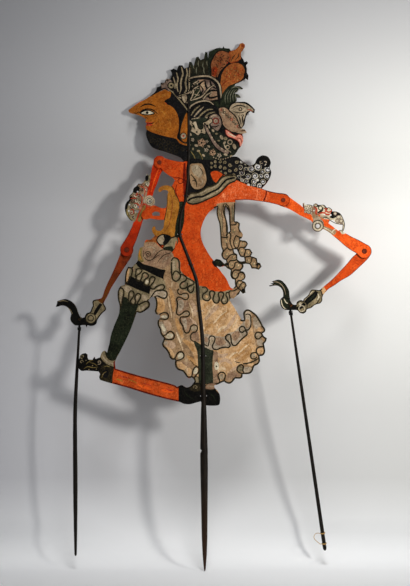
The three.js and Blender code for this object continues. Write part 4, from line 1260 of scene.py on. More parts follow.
# Bird's head behind, with its scaly neck
figure.draw("""
    area rose black 1.2 218.4,108.6 224,107 229,109.8 233,113.4 237,117.4 239.8,124 241.4,129.6 236,132.6
        229,131 223,125.4 219.8,117
""")
for row in range(5):
    for step in range(8):
        x, y = 221.6 + 2.3 * step + 1.9 * row - 1.0 * (row % 2), 110 + 2.35 * step - 1.0 * row + 1.0 * (row % 2)
        if 219.6 + 0.1 * row < x < 239.6 and y < 131 and (x - 222) * 0.93 + 105.5 < y < (x - 216) * 0.93 + 113:
            figure.ring("red" if (3 * row + step) % 7 == 0 else "line", x, y, 1.0, 0.55, sides=7)
            figure.dot("bone", x, y, 0.55, sides=6)
figure.draw("""
    stroke bone 1 .3 220.6,111 223,114.4 224,118.8
    area bone black 1.2 229.4,107.4 232,104 236,102.4 241,102.6 246,103.6 250,106 254.4,110.5 252,112.4
        249,111.4 246.6,113.4 245.6,117 243.7,121.5 243.6,125.4 241,128.4 238.4,122.4 236.2,117.2 232,113
        229,110.5
    stroke black 1.7 .6 .9 230,104.6 234,102.6 239,101.8 245,102.4 251,105.6 255.4,111.4
    stroke black 1.1 .4 231.6,108.6 236,106 241,105.6 247.5,107.4
    ring black 1.5 .9 240.4,109.2
    stroke black .9 .4 233,111.4 237,112.6 241.6,112.8 246,111.4
    stroke red .8 .4 247,109.4 250,110 252.6,111.6
    stroke black 1.2 .4 238.4,116 240,119.6 240.2,124.6 ; 241.6,114.6 242.6,118.6 242,123.6
    stroke black .9 .4 242.6,114 244.2,117
    area rose 234,129.6 238,128 242,128.6 245,127.6 249,126.6 247,129.4 249.6,131 245,134 240,133.4 236,132.4
    stroke black .9 .5 .3 240.4,131 244.6,130.4 248,129.4
    stroke bone .9 .5 .3 238,129.6 242,129.2 246,128 ; 238,132.2 243,132.6 247,131.8
""")

# Panel between the oval and the neck
figure.draw("""
    area mauve black 1.5 209.8,115.6 215,113.2 219.4,115.6 221.6,120.4 221.8,126 218,131.4 213,129 209.4,124
        208.2,119
    ring blood 2.9 1.1 215.8,121
    dot bone 1.5 215.8,121
    dot black .7 sides=6 215.8,121
    stroke black 1.2 .4 211,126.4 215,127 219.4,125.2
    stroke bone 1 .4 210.6,117.6 213.4,115.4 216.6,115.6
""")

# Back of the head: pale panel, strip, flowers and loops
figure.draw("""
    area leaf 189,121 196,119 206,118 211,127 221,133 232,141 240,147 236,156 226,159 206,159.6 189,156
    area bone black .9 189.6,120 192.6,121.6 196,121.3 197.4,125 199,128.6 202,129.2 203.4,126 202.6,123
        206,121.4 211,118.2 212.6,122 209.4,124.6 210.4,128 206.6,130.6 205,134.4 201,133 198.4,135.8
        194.4,133.4 190.4,131 191.6,127 189,124
    dot dark 1.3 sides=7 193.4,126.6
    dot dark 1 sides=7 196.6,132
    dot dark .9 sides=7 201.4,131.4
    dot dark 1.2 sides=7 207.4,125.6
    dot dark .8 sides=7 205.4,128.8
    dot dark .7 sides=7 192.8,122.6
    stroke dark 1 .4 191.4,123.4 194,126 195,130
    area mauve black 1.1 204.4,123.4 208,127.5 211.2,134 214.4,139.6 218.4,144.6 223.6,148.6 229.4,151.4
        228,154.4 221,151.8 215.6,147.6 211.6,142 208.6,136 205.6,130.4
    dot bone 1.1 .7 50 7 207.4,128.6 ; 209.6,133 ; 212,137.6 ; 214.8,141.8 ; 218,145.6 ; 221.8,148.8 ;
        225.8,151.2
""")
for x, y, r in pairs("201.6,142.8,4 212.6,152.6,3.2 219.2,155.4,2.2 206.4,150,2 192.6,139.8,1.7 207,141.6,1.4"):
    petals = circle(x, y, r, 15)
    ragged = 0.16 * np.cos(np.arange(15) * 2 * math.pi / 3) + 0.13 * np.sin(np.arange(15) * 2.3 + x)
    petals = petals + (petals - np.array([x, y])) * ragged[:, None]
    figure.fill("rose" if r > 2.5 else "grey", petals)
    figure.dot("black", x, y, r * 0.3, sides=6)
    for k in range(5):
        angle = math.radians(72 * k + 20 * x)
        c, s = math.cos(angle), math.sin(angle)
        figure.stroke("black", [(x + 0.45 * r * c, y + 0.45 * r * s), (x + 1.1 * r * c, y + 1.1 * r * s)], 0.6)
for x, y, r, turn in pairs(
    "196.4,145.6,1.5,20 190.6,134.6,1.2,70 213,130.6,1.3,50 221.6,137.4,1.9,60 216.6,133.8,1.1,0 "
    "224.4,142.8,1.3,130 198.4,151,1.2,0 203.6,155.4,1.3,40 193,149,1,90 218.8,140.8,1,10 189.8,145,.9,0 "
    "208.8,146.4,1.2,45 225.6,154.6,1.5,20 231.4,156,1.1,0"
):
    figure.dot("bone" if r > 1.15 else "ash", x, y, r * 1.35, 0.62, turn, 8)
figure.draw("""
    dot ash 1.8 225.5,138.6
    ring bone 2.2 1 230,142.2
    ring bone 1.8 .9 227.6,147.2
    dot bone 3.1 .66 70 12 234.4,146.6
    ring black 3.6 1.2 .66 70 234.4,146.6
    stroke bone 1.1 .5 223.6,143 226,148.6 231,152.4
    stroke black 1.6 228,139 233,138.6 238.5,143 239.8,147 238.4,151.4 234.5,156 228,158 220,158.6
""")
for k in range(8):
    figure.dot("bone", 213.6 + 2.4 * k, 157.4 + 1.9 * math.sin(k * 0.5), 0.7, sides=6)
figure.draw("""
    area tongue blood .7 225.6,129.8 229,131.3 232,133.8 236,135.8 239,134.3 242.2,135.8 243.8,140 242.8,144.2
        240.2,146.6 239.2,142.7 236.8,140.3 232,137.9 228,136.4 225.8,133.2
    stroke cream 1.1 .4 228,132.6 231.6,135 235.6,136.8
    stroke blood .9 .4 237,138 240.6,139 241.6,143
""")

# Neck
figure.draw("""
    stroke olive .8 .4 190,150.4 194,156 196,161.4 ; 197,149.4 201,155 203,160.6
""")

# Lock of curled hair that hangs behind the shoulder
for x, y, r in pairs(
    "258,167,3.5 267.5,169.6,3.2 251.4,169,3.2 255,176,3.2 267,176.4,2.8 261,176.2,2.2 262.6,171.6,2 "
    "248,176.6,2.6 263,181.8,2.6 254,181.6,2.6 246,181,2.4 259.6,186,2.6 253.5,185,2 242,173,2.5 246,169.2,2 "
    "240.4,167.4,2.1 236.5,162,2 235.5,170,2 239,177.2,2 233.8,175.4,1.8 230,165,2 242,180,1.6 248.4,185,1.5 "
    "257.6,180,1.3 264.6,187,1.8 266,165.4,1.2 229.6,170.6,1.8 225,162.6,1.9 225,168.4,1.8 225.6,173.4,1.4 "
    "220,161.8,1.8 220,167,1.8 220.6,171.8,1.2 215.4,161.6,1.5 215.4,166,1.6 211.4,163.4,1.3 211.4,167.6,1.2 "
    "251,162.8,1.6 246,163.4,1.6 241.6,162,1.4"
):
    if x > 237:
        figure.fill(None, circle(x, y, r * 0.86, 12 if r > 2 else 8))
        figure.ring("cream", x, y, r * 0.98, 0.35, sides=12)
        if r > 1.7:
            figure.curl("black", x + 0.1, y, r * 0.95, 47 * x % 360, 430, 1.0, 0.2)
    else:
        figure.curl("ash", x, y, r * 0.95, 47 * x % 360, 460, 0.75, 0.2)
figure.draw("""
    area black 257,162.6 258.6,158 262.6,155.4 267.4,156.8 270,160.6 270,165 267.4,167.6 264.6,166.4 267,163.4
        265.6,160.4 262,160 259.8,163 259,165
    curl grey 1.9 30 300 .6 261,162
    curl grey 1.7 200 300 .6 265.6,162.6
    edge black .9 238,152 290,150 290,196 238,196
""")

# Chest: pendant, collar and sash, with a painted highlight of lighter orange (paint light) over the right
# shoulder
figure.draw("""
    area hair 188,161 206,160.5 211,168.8 217,171.4 224,174 221,178.6 216.4,183.4 211,186 206.4,188.6 203,191
        196,192.6 189.6,193.6 188,196
    area light 226,190 232,181 246,185 268,192 268,203 250,200 236,199 226,203 219,208 214,204
    area skin line .8 210.4,172.6 216,170.6 222.8,174.2 219.6,178.6 216,183 212.8,180.2
    area ash line 1 186.6,198 190,193.5 197,192.5 203,190 207,187 213,185.5 217,183 221,178 226,175.5 232,174.8
        236,176.4 235.4,180.6 229,184 225,187.8 221,192 217,195.2 211,198 205,200.8 198,203.6 192,204.4
        187.6,202.8
    stroke line 1.6 187,197.6 190,193.7 197,192.7 203,190.2 207,187.2 213,185.7 217,183.2 221,178.2 226,175.7
        233,175.6
    stroke black 1.9 188,201.2 190.5,198.8 197,197 202,196.7 206,194.9 211,192.2 216,190 219.5,187.4 223,183.2
        227,179.6 235,177.6
    stroke line 1.5 187.6,202.6 192,204 198,203.2 205,200.4 211,197.7 217,194.8 221,191.8 225,187.4 229,183.6
        235,181
    stroke bone .9 .4 190,195.9 197,194.8 202,193.2 207,190 213,187.8 218,184.6 221.8,180.2 226.4,177.4 ;
        191,201.4 197,200.4 204,197.8 211,195 216.6,192 220.6,189 224.6,184.8 229,181
    area buff black 1.5 189.6,164.2 195,162.8 201.6,163.2 204.6,167.6 206.4,173.6 207,181.5 202.8,188.4
        195,189.8 190.2,184.6 189,174
    area bone 192,166 197,165 201,168 202.4,174 200,178 195,175 192,171
    stroke line 1.2 .8 .4 191,174.4 194,178 196.5,182.5 196.4,187
    stroke line 1 .4 .5 192,181 194.4,180.4 197,183.4
    stroke line .8 .4 198.6,166.6 202,170.8 203.4,176
    stroke bone 1.1 .4 201,178 203,182 200.6,186
    stroke blood 1.4 266.6,190.5 265.7,196 263.5,201
    edge blood .5 228,176 300,185 300,214 228,214
""")

# Chest, on the other side of the rod: ornament that hangs from the shoulder, and dark red painted shadow of the
# rod along its side
figure.draw("""
    stroke blood 3 .6 .4 184.6,163 184.4,176 184.8,190 184.6,200
    stroke blood 1.6 .4 181.6,242 186,254 190.6,266 195,279
    ring blood 2.6 .8 180.5,181
    stroke blood .9 .5 177,184.4 175.6,190 177,196 178.8,201 ; 173,177 177,178 180.5,177
    area ochre line .8 150,233.4 151.6,226.6 155.6,225 158,228 162.6,225 164.6,219 166.8,208 167.2,200
        166.4,193.4 160,195.4 155.6,192 156,185.6 161,182.6 166.8,184 171.8,186.5 174.2,190 175.2,194 178.2,199
        179.8,205 178.8,212 176.8,220 175.6,229 177,236.6 168,238 158,236.6 152,237
    stroke brown 1 .4 169.6,190.6 171.6,198 172.4,206 171,216 168.8,225.6 164.4,231.4
    curl brown 3.2 340 -400 .9 161.6,189.4
    dot dark 3.5 .8 0 12 158.6,226.6
    area dark 179.6,202 183.6,202 184.6,215 183.4,225 181.4,232 178,238 174.6,236 175.8,228 177.4,219 179.4,211
    area brown 143,245 147,240.6 152,238 155.4,235.4 158,236.6 157,241 156.6,246 150,246.4
    area ash line .8 163,248.6 167,242 171,238.4 176,236.6 178,240.6 176,246 172,251 166,253
    area dark 163,248.2 168,246.4 172.4,246.8 173,251.4 169,252.6 164,250.6
    area bone black 1.2 156.8,240.6 158.6,236.6 162.6,234.6 167,235.2 170.4,237 168.4,241.4 165,244.6
        160.4,244.8
    area black 163.4,235.4 167,235 170.6,237 168.4,241.4 165,244.4 162.8,243.4 164.4,239.6
    stroke black 1.2 .7 .5 169,238.4 172.6,237.4 177.6,236
    stroke black 1.1 .5 158,243.4 161,246.4 165,249
    stroke skin 1.4 .5 176.4,241 175.4,248 174.4,254 175.4,259
""")

# Ribbons that hang behind the back, folded to and fro
figure.draw("""
    area buff spacing=4 sharp=25 216.6,204 222,202.6 237,202 241,224 243,236 262,256 264,272 252,272 246,282
        249,296 238,302 228,300 233,288 224,262 218,240 216,220
    stroke ash 2 .4 219.6,206 219.4,213 221.2,221 221.8,232 ; 232,206 232.6,214 232.2,222
""")
for x, y in pairs(
    "236.4,242.4 243.2,243.6 241.6,251.4 248.2,253 248.4,260.4 254,263.6 226.6,254.6 233.4,257.4 231.6,264.4 "
    "238,265.8 235.4,274.2 241.6,276.6 239,283.2 242.6,286.4 234,230.6 226,241"
):
    figure.dot("ash", x, y, 2.3, 0.7, 110, 10)
    figure.dot("tan", x + 0.4, y - 0.4, 1.2, 0.6, 110, 8)
figure.draw("""
    stroke line 1.1 224.4,203.4 223,208 223.8,214 226,221 226.4,230 227.6,235
    stroke line 1.3 225.4,203.4 228.6,207 229.8,213 230,220 230.2,226
    stroke line .5 .4 222,204 221.6,212 222.8,221 222.6,230 223.4,236 ; 232.4,204 232,212 232.4,221
    stroke line 1.45 .8 220.8,237 224.4,237.4 227.4,237.4 226.4,234.8 228,233 230.4,234 230.8,237 230,240
        230.6,244 232.6,249 ; 230.4,225 233,225 235.8,224.4 236.4,222 238.4,221.4 239.8,223.4 239.8,227 ;
        226.4,243 227,247.4 224,250.6 222.4,254 223.2,258 225.4,259.8 227.6,258.4 229.4,256 232,254.4 235,254.4
        237.4,256.6 236.8,259.4 233.6,260.6 230.4,260.8 228.6,263 228.4,266.4 230.4,268.6 232.6,268.6 234.6,266
        235,263.2 237.6,262 240.6,262.6 242.4,265.4 241.6,268.6 238.6,270.2 235,270 232.8,272 232,275.4
        233.4,278 236,278.4 238,276.4 238.8,273.4 241,272.4 244,273.8 245.6,276.8 244.2,279.6 241,280.8
        238.4,280.6 236.8,283 236.6,286 238.4,288 240.4,285 242.6,282.6 245.4,283.6 246,286.6 244.4,289 242,290
        ; 227.2,247.6 229.6,249.8 232.4,249.6 ; 235.8,235.4 238.6,237 241.6,237.6 ; 236,235.6 234.4,239
        233.6,243 234.8,246.8 237.2,248 238.8,245.4 239.4,242 241.6,240.4 245,240.4 247.4,242.8 246.6,246
        243.6,247.4 240,247.6 238.8,250 239,254.4 241.4,257 243.8,256.2 245,252.6 246,249.8 249,249 251.4,250.8
        251.2,254.4 248.6,256.6 245.8,257 245,260 246.4,263 249,264 251,262 251.8,258.6 254,257 256.6,257.8
        257.2,261.4 256.8,265
    dot buff 2.8 259.2,266.8
    ring line 2.3 1.3 259.2,266.8
    dot black 1.2 257,264.8
    dot black 2.5 243.6,290.8
    stroke black 1.6 238.4,262.8 241.6,263.4 245.4,261.6
    area black 212,262 215,258.6 219.4,258.6 223.4,262 228.6,263 229,265.4 224,265.6 219,267.6 214.6,266.4
    area dark 215.4,262.4 218,260.4 221,262.6 219,265.4 216.4,265
    edge line 1.35 214,203.8 240,202 242,236 264,258 264,274 250,278 250,297 238,300 229.6,300 233,289 222,262
        214,240
""")

# Waist: bundle of cloth, strip and dark bands
figure.draw("""
    area buff 136,246 143,243 150,242 156,243 163,249.4 172,252.4 174,262 170,270 178,290 178,312 163,316
        150,300 160,276 150,266 137,262
    area rose 141,247 147,243.4 154,243.6 158,247 165,249.6 171.6,252 172.4,258 168.6,265 162,268.6 154,267
        146,264.6 140,261 137.6,254
    area ash 136,276 146,278 156,284 156,302 149,308 140,300
    area olive 136,255 138.6,248.6 142.4,247 142,252 142.2,257 144.2,261.4 140.4,262 137,259
    stroke ochre 1.4 .3 139.8,249.6 139.6,255 141.6,260
    stroke line .9 .4 .9 143.4,250.6 143.6,256 147,260 152,259.6 156,255 159.4,251.4 164,249.8 171.6,250.8
    stroke line .8 .4 .8 157,263.4 160.4,258.4 165,254.6 171,253
    stroke line .6 .4 154,259 157,256 161,254.4
    stroke bone 1.2 .5 .4 147,247.4 152,247 155,249.6 152.6,253.6
    stroke bone 1 .5 .4 162,262.6 166,258.6 170.4,256.6
    curl line 3.2 200 560 .8 148.2,254.4
    area black 135.6,261.4 138.6,260.6 143,263.8 151,266 160,269 166.4,271 165,280.4 155,277 145,271.4 138.6,269
        135.4,265
    area buff 165.4,271 169.6,268.2 173.4,262 176.6,262 178.4,272 178.6,284 178,300 180,320 184,345 176,345
        168,318 165.6,300 166.4,286 163.6,279
""")

# Skirt: cloth with a folded border
figure.draw("""
    area tan 150,292 158,295 166,290 174,284 186,284 196.6,284 203,296 218,298 230,298 241,318 247,308 270,312
        272,352 262,380 236,392 206,392 196,390 176,380 150,330
    area buff 150,290 158,293 166,288 174,283 186,283 197,283 197,300 198,330 191,341 197,374 190,384 176,382
        150,332
    stroke blush 4.4 .5 205,320 211,312 219,306
    stroke cloth 4 .5 212,328 220,318 229,310
    stroke blush 3.8 .5 224,331 231,323 236,314
    stroke cloth 3.4 .5 204,331 209,326 213,324 ; 222,305 227,304 230,308
    stroke cloth 2.8 .5 204,309 207,304 212,302
    stroke glint 2.8 .5 217,333 222,328 227,326
    stroke glint 1.6 .5 206,317 211,308 216,304
    stroke glint 1.5 .5 214,323 221,315 227,311
    stroke glint 1.6 .5 232,328 236,322 238,317
    stroke cloth 6 .5 232,358 242,350 251,340
    stroke cloth 4 .5 238,362 247,355 253,348
    stroke blush 4 .5 214,352 221,356 228,354
    stroke blush 3.6 .5 219,362 226,360 232,364 ; 227,378 233,370 238,366
    stroke glint 3 .5 218,372 222,368 226,370
    stroke glint 1.6 .5 238,354 244,348 249,344
    stroke glint 1.8 .5 229,358 233,354 238,352
    stroke cloth 4.6 .5 183,340 189,344 194,352
    stroke cloth 4 .5 187,356 192,360 196,366 ; 170,288 173,300 174,312 ; 176,318 179,328 183,338
    stroke blush 4 .5 191,300 194,308 195,316
    stroke glint 1.4 .5 189,303 192,310 193,318
    stroke glint 1.6 .5 176,332 180,342 183,350
    stroke glint 1.4 .5 168,296 170,308 172,318
    stroke blush 2.6 .5 190,318 194,322 197,326
    area buff 151,296 165,297 168,300 169,312 170,322 174,332 176,340 180,350 180.6,360 190,366 192,378 180,374
        166,354 152,330
    area cloth 157,299 163,299 165,306 163,312 157.6,312 156.6,306
    area blush 164,321 169,321 171.6,327 169,331 164.6,327
    area grey 159,323 162,321.6 165,326 167,331 164.6,334 161,331
    area cream 161,325 163,324 165,328 165.6,331 163,331
    area blush 164.6,342 171,341 176,345 172,349 166,346.6
    area tan 167,347 171,349 174.4,354 173.6,358 170.6,354
    area grey 163.6,342 167,341 167.4,344 165,345
    area tan 177,363 183,362 187,366 184,370 179,368 ; 187,368 191,369 191,375 188,376
    area rose 182,362 188,362 190,366 186,366 ; 176.8,299 180,297.4 184,299.6 187.6,299.6 188.6,306 186,310.6
        182,313 178.6,314.4 177,310
    area grey 178.4,301 182,299.6 184,304 182,310 179,311.6
    area rose 180.4,318.4 184.6,317 189,317.4 192.6,322 191,326 189.6,330 186.4,332 184.4,329 182.6,324.6
    area grey 182,319.4 186,318.6 187,324 186,330 184.2,327
    area rose 191,334.6 193.6,332.6 198,332 199,341.6 195.6,341.4 192.4,340.4 190.8,337.6
    area grey 201,335 206,334 210,334.6 217,336 224,336.6 228,333 234,331.6 239,326.6 243,322 243.6,316 243,312
        247,308 250.4,312 251.4,322 250,329 247,334 241,340 235,345.6 229,347.6 222,348.6 213,350 203.6,346
    area rose 216,338 222,338 226,343 220,345.6 215.6,343 ; 232,334 238,331 240,335 235,341 231.6,338
    area buff 246,319 249,320 249.6,326 247,328 245,325
    area rose 205,337 207.6,337.6 207.6,342 205,342
    area buff 251.4,312 262,318 270,330 268,352 262,366 252,378 240,380 236,386 226,386 222,380 228,374 235,370
        239,366 245,363.6 250,362 255.6,357 256.4,350 255,342 253.4,334 252,324
    area grey 254,317 258,319 261,325 257,329 253.6,325 ; 257,340 262,340 262.6,345 258,345.6 ; 243,368 250,367
        252,371 246,373 243.6,371
    area rose 227,374 235,372 240,376 232,379 227,381
    area tan 259,327 262,330 260,331.6 257,330
    area rose 257,349 261,349 262,353 259,354
    area tan 247,363 251.6,362 254,364.6 250,366.4
    area rose 213.6,352 217,352 218,362 217.6,372 219.6,378 220,382 216,385 212.6,384 213,366
    area moss 193.6,341 197,342 203,346 210,349.6 213.4,350.6 212.8,358 212.6,368 212.6,384.6 206,384 200,386
        198,366 197.2,352
    dot cream 3.2 .5 2 14 164.4,316.8
    dot cream 3.6 .7 -20 14 169.6,336
    dot cream 3.6 .7 -50 14 180.6,355.8
    dot cream 3.4 .6 -70 14 195.6,371
    dot bone 2.8 .6 10 14 184.4,295.8
    dot bone 3 .5 -10 14 185.8,314
    dot bone 2.9 .8 -30 14 193.8,328.4
    dot bone 3.6 .55 -75 14 211.6,341
    dot bone 3.6 .5 60 14 228.6,338.6
    dot bone 2.6 .85 20 14 242.6,329
    dot bone 2.9 .85 0 14 258.4,335.6
    dot tan 3.4 .85 0 14 260.6,350.8
    dot bone 2.3 .9 0 14 253.4,355.8
    dot ash 3 .9 60 14 240.4,368.8
    dot bone 3.2 .75 90 14 221.6,376.6
    stroke line 1.5 .8 159,315.2 161.4,313.4 164.4,312.6 167,313.2 168.4,315.2 168,317.8 166,319.3 163,319
        158.8,318.9 ; 161.6,336 165.5,335 167.8,332.6 170.5,331.4 173.4,333 174.3,336 173,338.8 169.4,339.6
        166,339.3 162.8,340.2 ; 172,359.6 175.3,357.6 177,354 179,352 182,352 184,354.6 183.4,357.6 180,359.8
        177,360.6 174.6,363 ; 191.6,377.4 192.4,373.6 193.4,369.6 195.8,366.8 198.4,367.6 198.8,371 196.8,374.6
        195,376.4 193.6,379 ; 183.6,288.6 180,288.4 178,290 178,293 180.4,294.6 183.6,293.4 187,293.4 188.6,296
        187.4,299 184.6,299.6 181,297.6 178,297.2 176.6,299.4 177.6,304 177,309 176.6,313 178.4,315 181,314.4
        184,311.8 187.4,311 189.4,313.2 188.4,316 184.6,317 181,317 180,319 180.6,322.4 182.8,326 184,330.6
        186,333 188.6,332.4 190.2,329 191,326.4 193.6,324.8 196.8,326 197.4,329 195.8,331.8 192.8,332.6
        190.8,335 190.4,338 192.2,340.8 196,341.6 ; 203,343.6 205.6,345 208,346 208.8,343 209.2,340.6 209,338
        210.6,336.2 213.6,336.4 215,338.6 214.2,342 212.4,346 213.4,348.8 217,349.6 220.6,348 225,347.2
        228.6,347.4 230.2,345.4 228.6,342 226.2,339.6 225.6,336.6 227.6,334.6 230.2,335 231,338 231.2,341.4
        232.6,344.8 235,345.6 237.6,343.8 240,340.8 243.6,337.4 247,334.6 246.6,332 244.6,330.8 242.6,332.4
        240,331.4 239.4,328.4 241.6,326.4 244.4,327.2 245.4,329.6 247.6,330 249.8,328 251,324.6 250.8,319.6
        250.4,315.6 248,314 245.2,315 ; 264,333.4 261.4,333.4 259,332.2 256.4,332.8 255,335.6 256.4,338.6
        259,338.8 261,336.8 264.4,335.4 ; 264,346.6 259.6,346.8 256.8,348.6 256.2,351.6 258,354.8 261,356.2 ;
        257.6,353.6 255.4,352.6 252,353.2 250.6,355.8 251.6,358.4 254.4,358.8 257,357 ; 259,358.2 255,360.4
        251,362.4 246.6,363.4 243,363.6 ; 244.8,374 242.8,370.4 243.4,366.6 241.4,364.6 238.4,366 237,369.4
        239,372.4 242.6,373.6 ; 219.8,383.4 219.4,379.6 218,376 219.4,373 222.4,372.2 225,374 225,377.6 224,380
        224.8,384
    stroke line .9 .5 235,361.4 238,362.6 240.6,362
    stroke line .7 .4 .5 190,359.6 194,364.6 197.6,366
    area cream 214.4,366.4 214.8,363 216.6,361.6 218.8,363.4 219,367.4 217.4,370 215.2,369.4
    dot line .8 1.3 216.4,366.4
    area ash line .9 193.6,379 196,376.6 198.6,377.6 198.4,386 195,385.6 194,382.4
    edge line 1.7 150.6,290 158,294 158,318 182,356 197,374 199,390 190,389 176,384 140,340 ; 240,305 274,303
        275,390 214,390 214,384 219,381 250,352 241,322
""")

# Waist: ruffles of folded cloth, with one winding line along the folds
figure.draw("""
    area ash 196.4,286 201,286 206,287 210,290 216,291.4 223,291.4 231.6,290 231,297 229.4,300.8 226,304
        222.4,303.4 219.6,301 216.6,303.4 213.4,302 211,299 207,301 203,300.2 198,299 ; 170.6,262 174,257.4
        178,258.4 180.4,262 180.6,270 184,274.4 188,277 193,280 196.6,284 196,292 191,294 187.6,292 183,289.6
        179.4,289 178.6,284 176,282 172.6,280.6 171,276 ; 118,258 134,262 139.6,268 147,271.4 156,276
        163.6,279.6 166,286 166,294 160.4,294.6 153,292.6 150.4,290.6 150.6,285.4 138,281.4 128.6,277.6 124,286
        116,284
    area black 125.6,284.4 127,280.4 130,276.2 136.4,279 142.6,281.4 144.6,284.6 150.8,286 150,294 138,290.6
        129.4,286.6
    area ash 112,284 126,284.6 138,289.8 149.6,294.6 151,300.4 149,301.6 152,305 148,312 138,317 133,311
        134,304.6 130.4,303 126.4,299 122.8,306 112,312
    area bone 122,287.4 126,285.6 131,288 131.6,290.4 128.4,292.6 125.4,291 ; 142.6,294.6 147.6,296 147,300.4
        143.4,300.6 141.6,298 ; 151,288.6 154.6,290 153.6,293.4 151,296.4 149.4,297.6
    area dark sharp=40 112,316 119.4,309.6 121.6,302 123,296.6 126.6,297.6 129.6,301.6 132.4,305.4 136.6,303.4
        138.4,305.6 136,311.6 139,317 160,330 140,372 96,372
    area grey spacing=2 151.6,296.6 154.6,291.6 160,290.4 166,291 167.4,295 165,298.6 160,298 155.6,297
    stroke tan 2.4 .6 128.6,268 128,274 126.6,281.6
    stroke rose 2.2 .6 133,267.4 133.6,271.4
    stroke bone 2.4 .6 137.6,272.4 138.8,270.8 ; 138,277.4 139.4,279.4
    stroke rose 2.2 .6 144.8,275.4 147,276.8
    stroke cream 2.8 .6 145.8,283.4 147.8,280.6
    stroke bone 2.2 .6 151.8,281.6 153.4,279.2
    stroke bone 2 .6 153.2,286.6 156,284.4 ; 157,288.6 162,286.8
    stroke bone 3 .6 158,293.4 163.6,294.2
    stroke bone 2 .6 121,292 120.6,302
    stroke bone 2.2 .6 131.2,293.4 131,296.4 ; 132.6,300.4 133.4,302.6
    stroke bone 2.4 .6 137.6,295.8 136.8,300.6
    stroke bone 2.6 .6 140.4,310.4 146.4,304.4
    stroke bone 2.2 .6 173.8,261 173.6,270
    stroke rose 1.8 .6 177.4,262 177.6,268.6
    stroke rose 2.6 .6 175.6,278 177.6,275
    stroke rose 3.2 .6 181.6,285 184,282.6
    stroke bone 1.8 .6 181.4,276.4 183,278.4
    stroke bone 2.8 .6 189.6,289.4 191.4,287.6
    stroke bone 1.8 .6 190,281.6 192,283
    stroke tan 3.2 .6 205.6,297.4 207.4,295.6
    stroke bone 2 .6 204,289.4 205,290.4
    stroke bone 2.8 .6 216.2,300.4 216.4,297.6
    stroke rose 1.8 .6 212,293 211.6,297
    stroke bone 2.6 .6 223.6,301.4 224,299
    stroke rose 1.8 .6 221,293.6 220.6,297.4
    stroke bone 1.8 .6 228.6,294.4 229,298.4
    stroke line 1.6 .8 124.6,285 124.6,278 125.6,272 126.4,267.6 128.4,265.8 131,266.6 132.4,270 131.6,274.6
        129.6,278.4 126.8,283.6 ; 135,277 136,272 136.6,269.4 139.6,268.6 142,270.4 140,273.4 137,275.4 136,278
        137.4,280.8 139.8,281 141.6,278 142.6,274 144.6,272.6 148,274.4 148,277.4 145.4,279 143.8,281.8
        144.6,284.6 147.4,285.6 149.4,283 150,278.6 152.4,276.6 155,278.2 153.6,282 150.8,285.6 151,288.4
        153.8,289 156.6,286.8 160,285 163.6,285 164.4,287.4 162.4,290 159,290.6 155.4,291.4 152.8,294.6
        150.6,298 149.2,300.6 ; 154.4,291.8 158,290.4 163,290.2 166.6,292 167,295.6 165,298.2 161.6,297.8
        158,296 155.4,296.4 153.4,298.4 ; 119.4,308 118.4,300 117.9,293 118.8,289 121,288 123.4,289.8 123.8,294
        122.6,299 121.2,306 ; 128.4,301.4 128.8,296 129.2,292.6 131,290.8 133.4,291.8 134,295 132.4,298
        130.6,300.6 131.4,303.8 133.8,304.6 135.6,302 135,298 136.2,294.6 138.4,293.4 140.8,295.4 139.8,299.2
        137.6,302.8 138.6,304.6 142,303 145.6,301.4 148.6,302.6 148.8,306 146.2,308.6 142.4,311.6 138.4,313.4 ;
        171.4,262 171.4,268 171.8,275 173,279.6 176,281.2 178.8,279.6 180.6,275.8 179,273 176,271 173.8,272.6
        173,275.6 ; 171.2,261 173.6,257.8 177.6,259 179.2,262.4 179.4,268.6 180.6,273.4 ; 180.4,274.4 183.6,275
        186.6,277.6 185.6,280.4 182,282.4 180,285 181,288 184.4,288.6 187,286.6 187.4,282.6 ; 186.6,278
        190,279.4 193.6,281.6 193.6,284.4 190.4,285.4 187.8,287.4 188,290.4 190.6,292.6 193.2,290.6 194,286 ;
        202,287.4 205.4,287 207.6,290 205.6,292.4 203,294.4 202.6,297.8 205,300.2 208.6,300.4 210.4,297.6
        209.6,294 210.2,291.4 213,291 214.8,293 213.6,296.4 213,300 215,302.8 218,302.6 219.4,299 218.4,295.4
        219,292.6 222,292 223.8,294.2 222.6,297.6 221.4,301 223.4,303.8 226.6,303 227.6,299 226,295.6
        226.6,292.6 229.8,292.4
    edge line 1.5 114,262 134,262 128,284 114,284 ; 112,286 123,286 124,308 114,312 ; 134,302 150.4,299 152,314
        134,318
    area buff line 1.3 229.4,291.4 234,290.8 238,288.6 240.6,290.2 238,293.4 234.4,298.8 230.4,299
    stroke rose 2.4 .5 231.6,295.4 234,294 236.6,291.6
""")

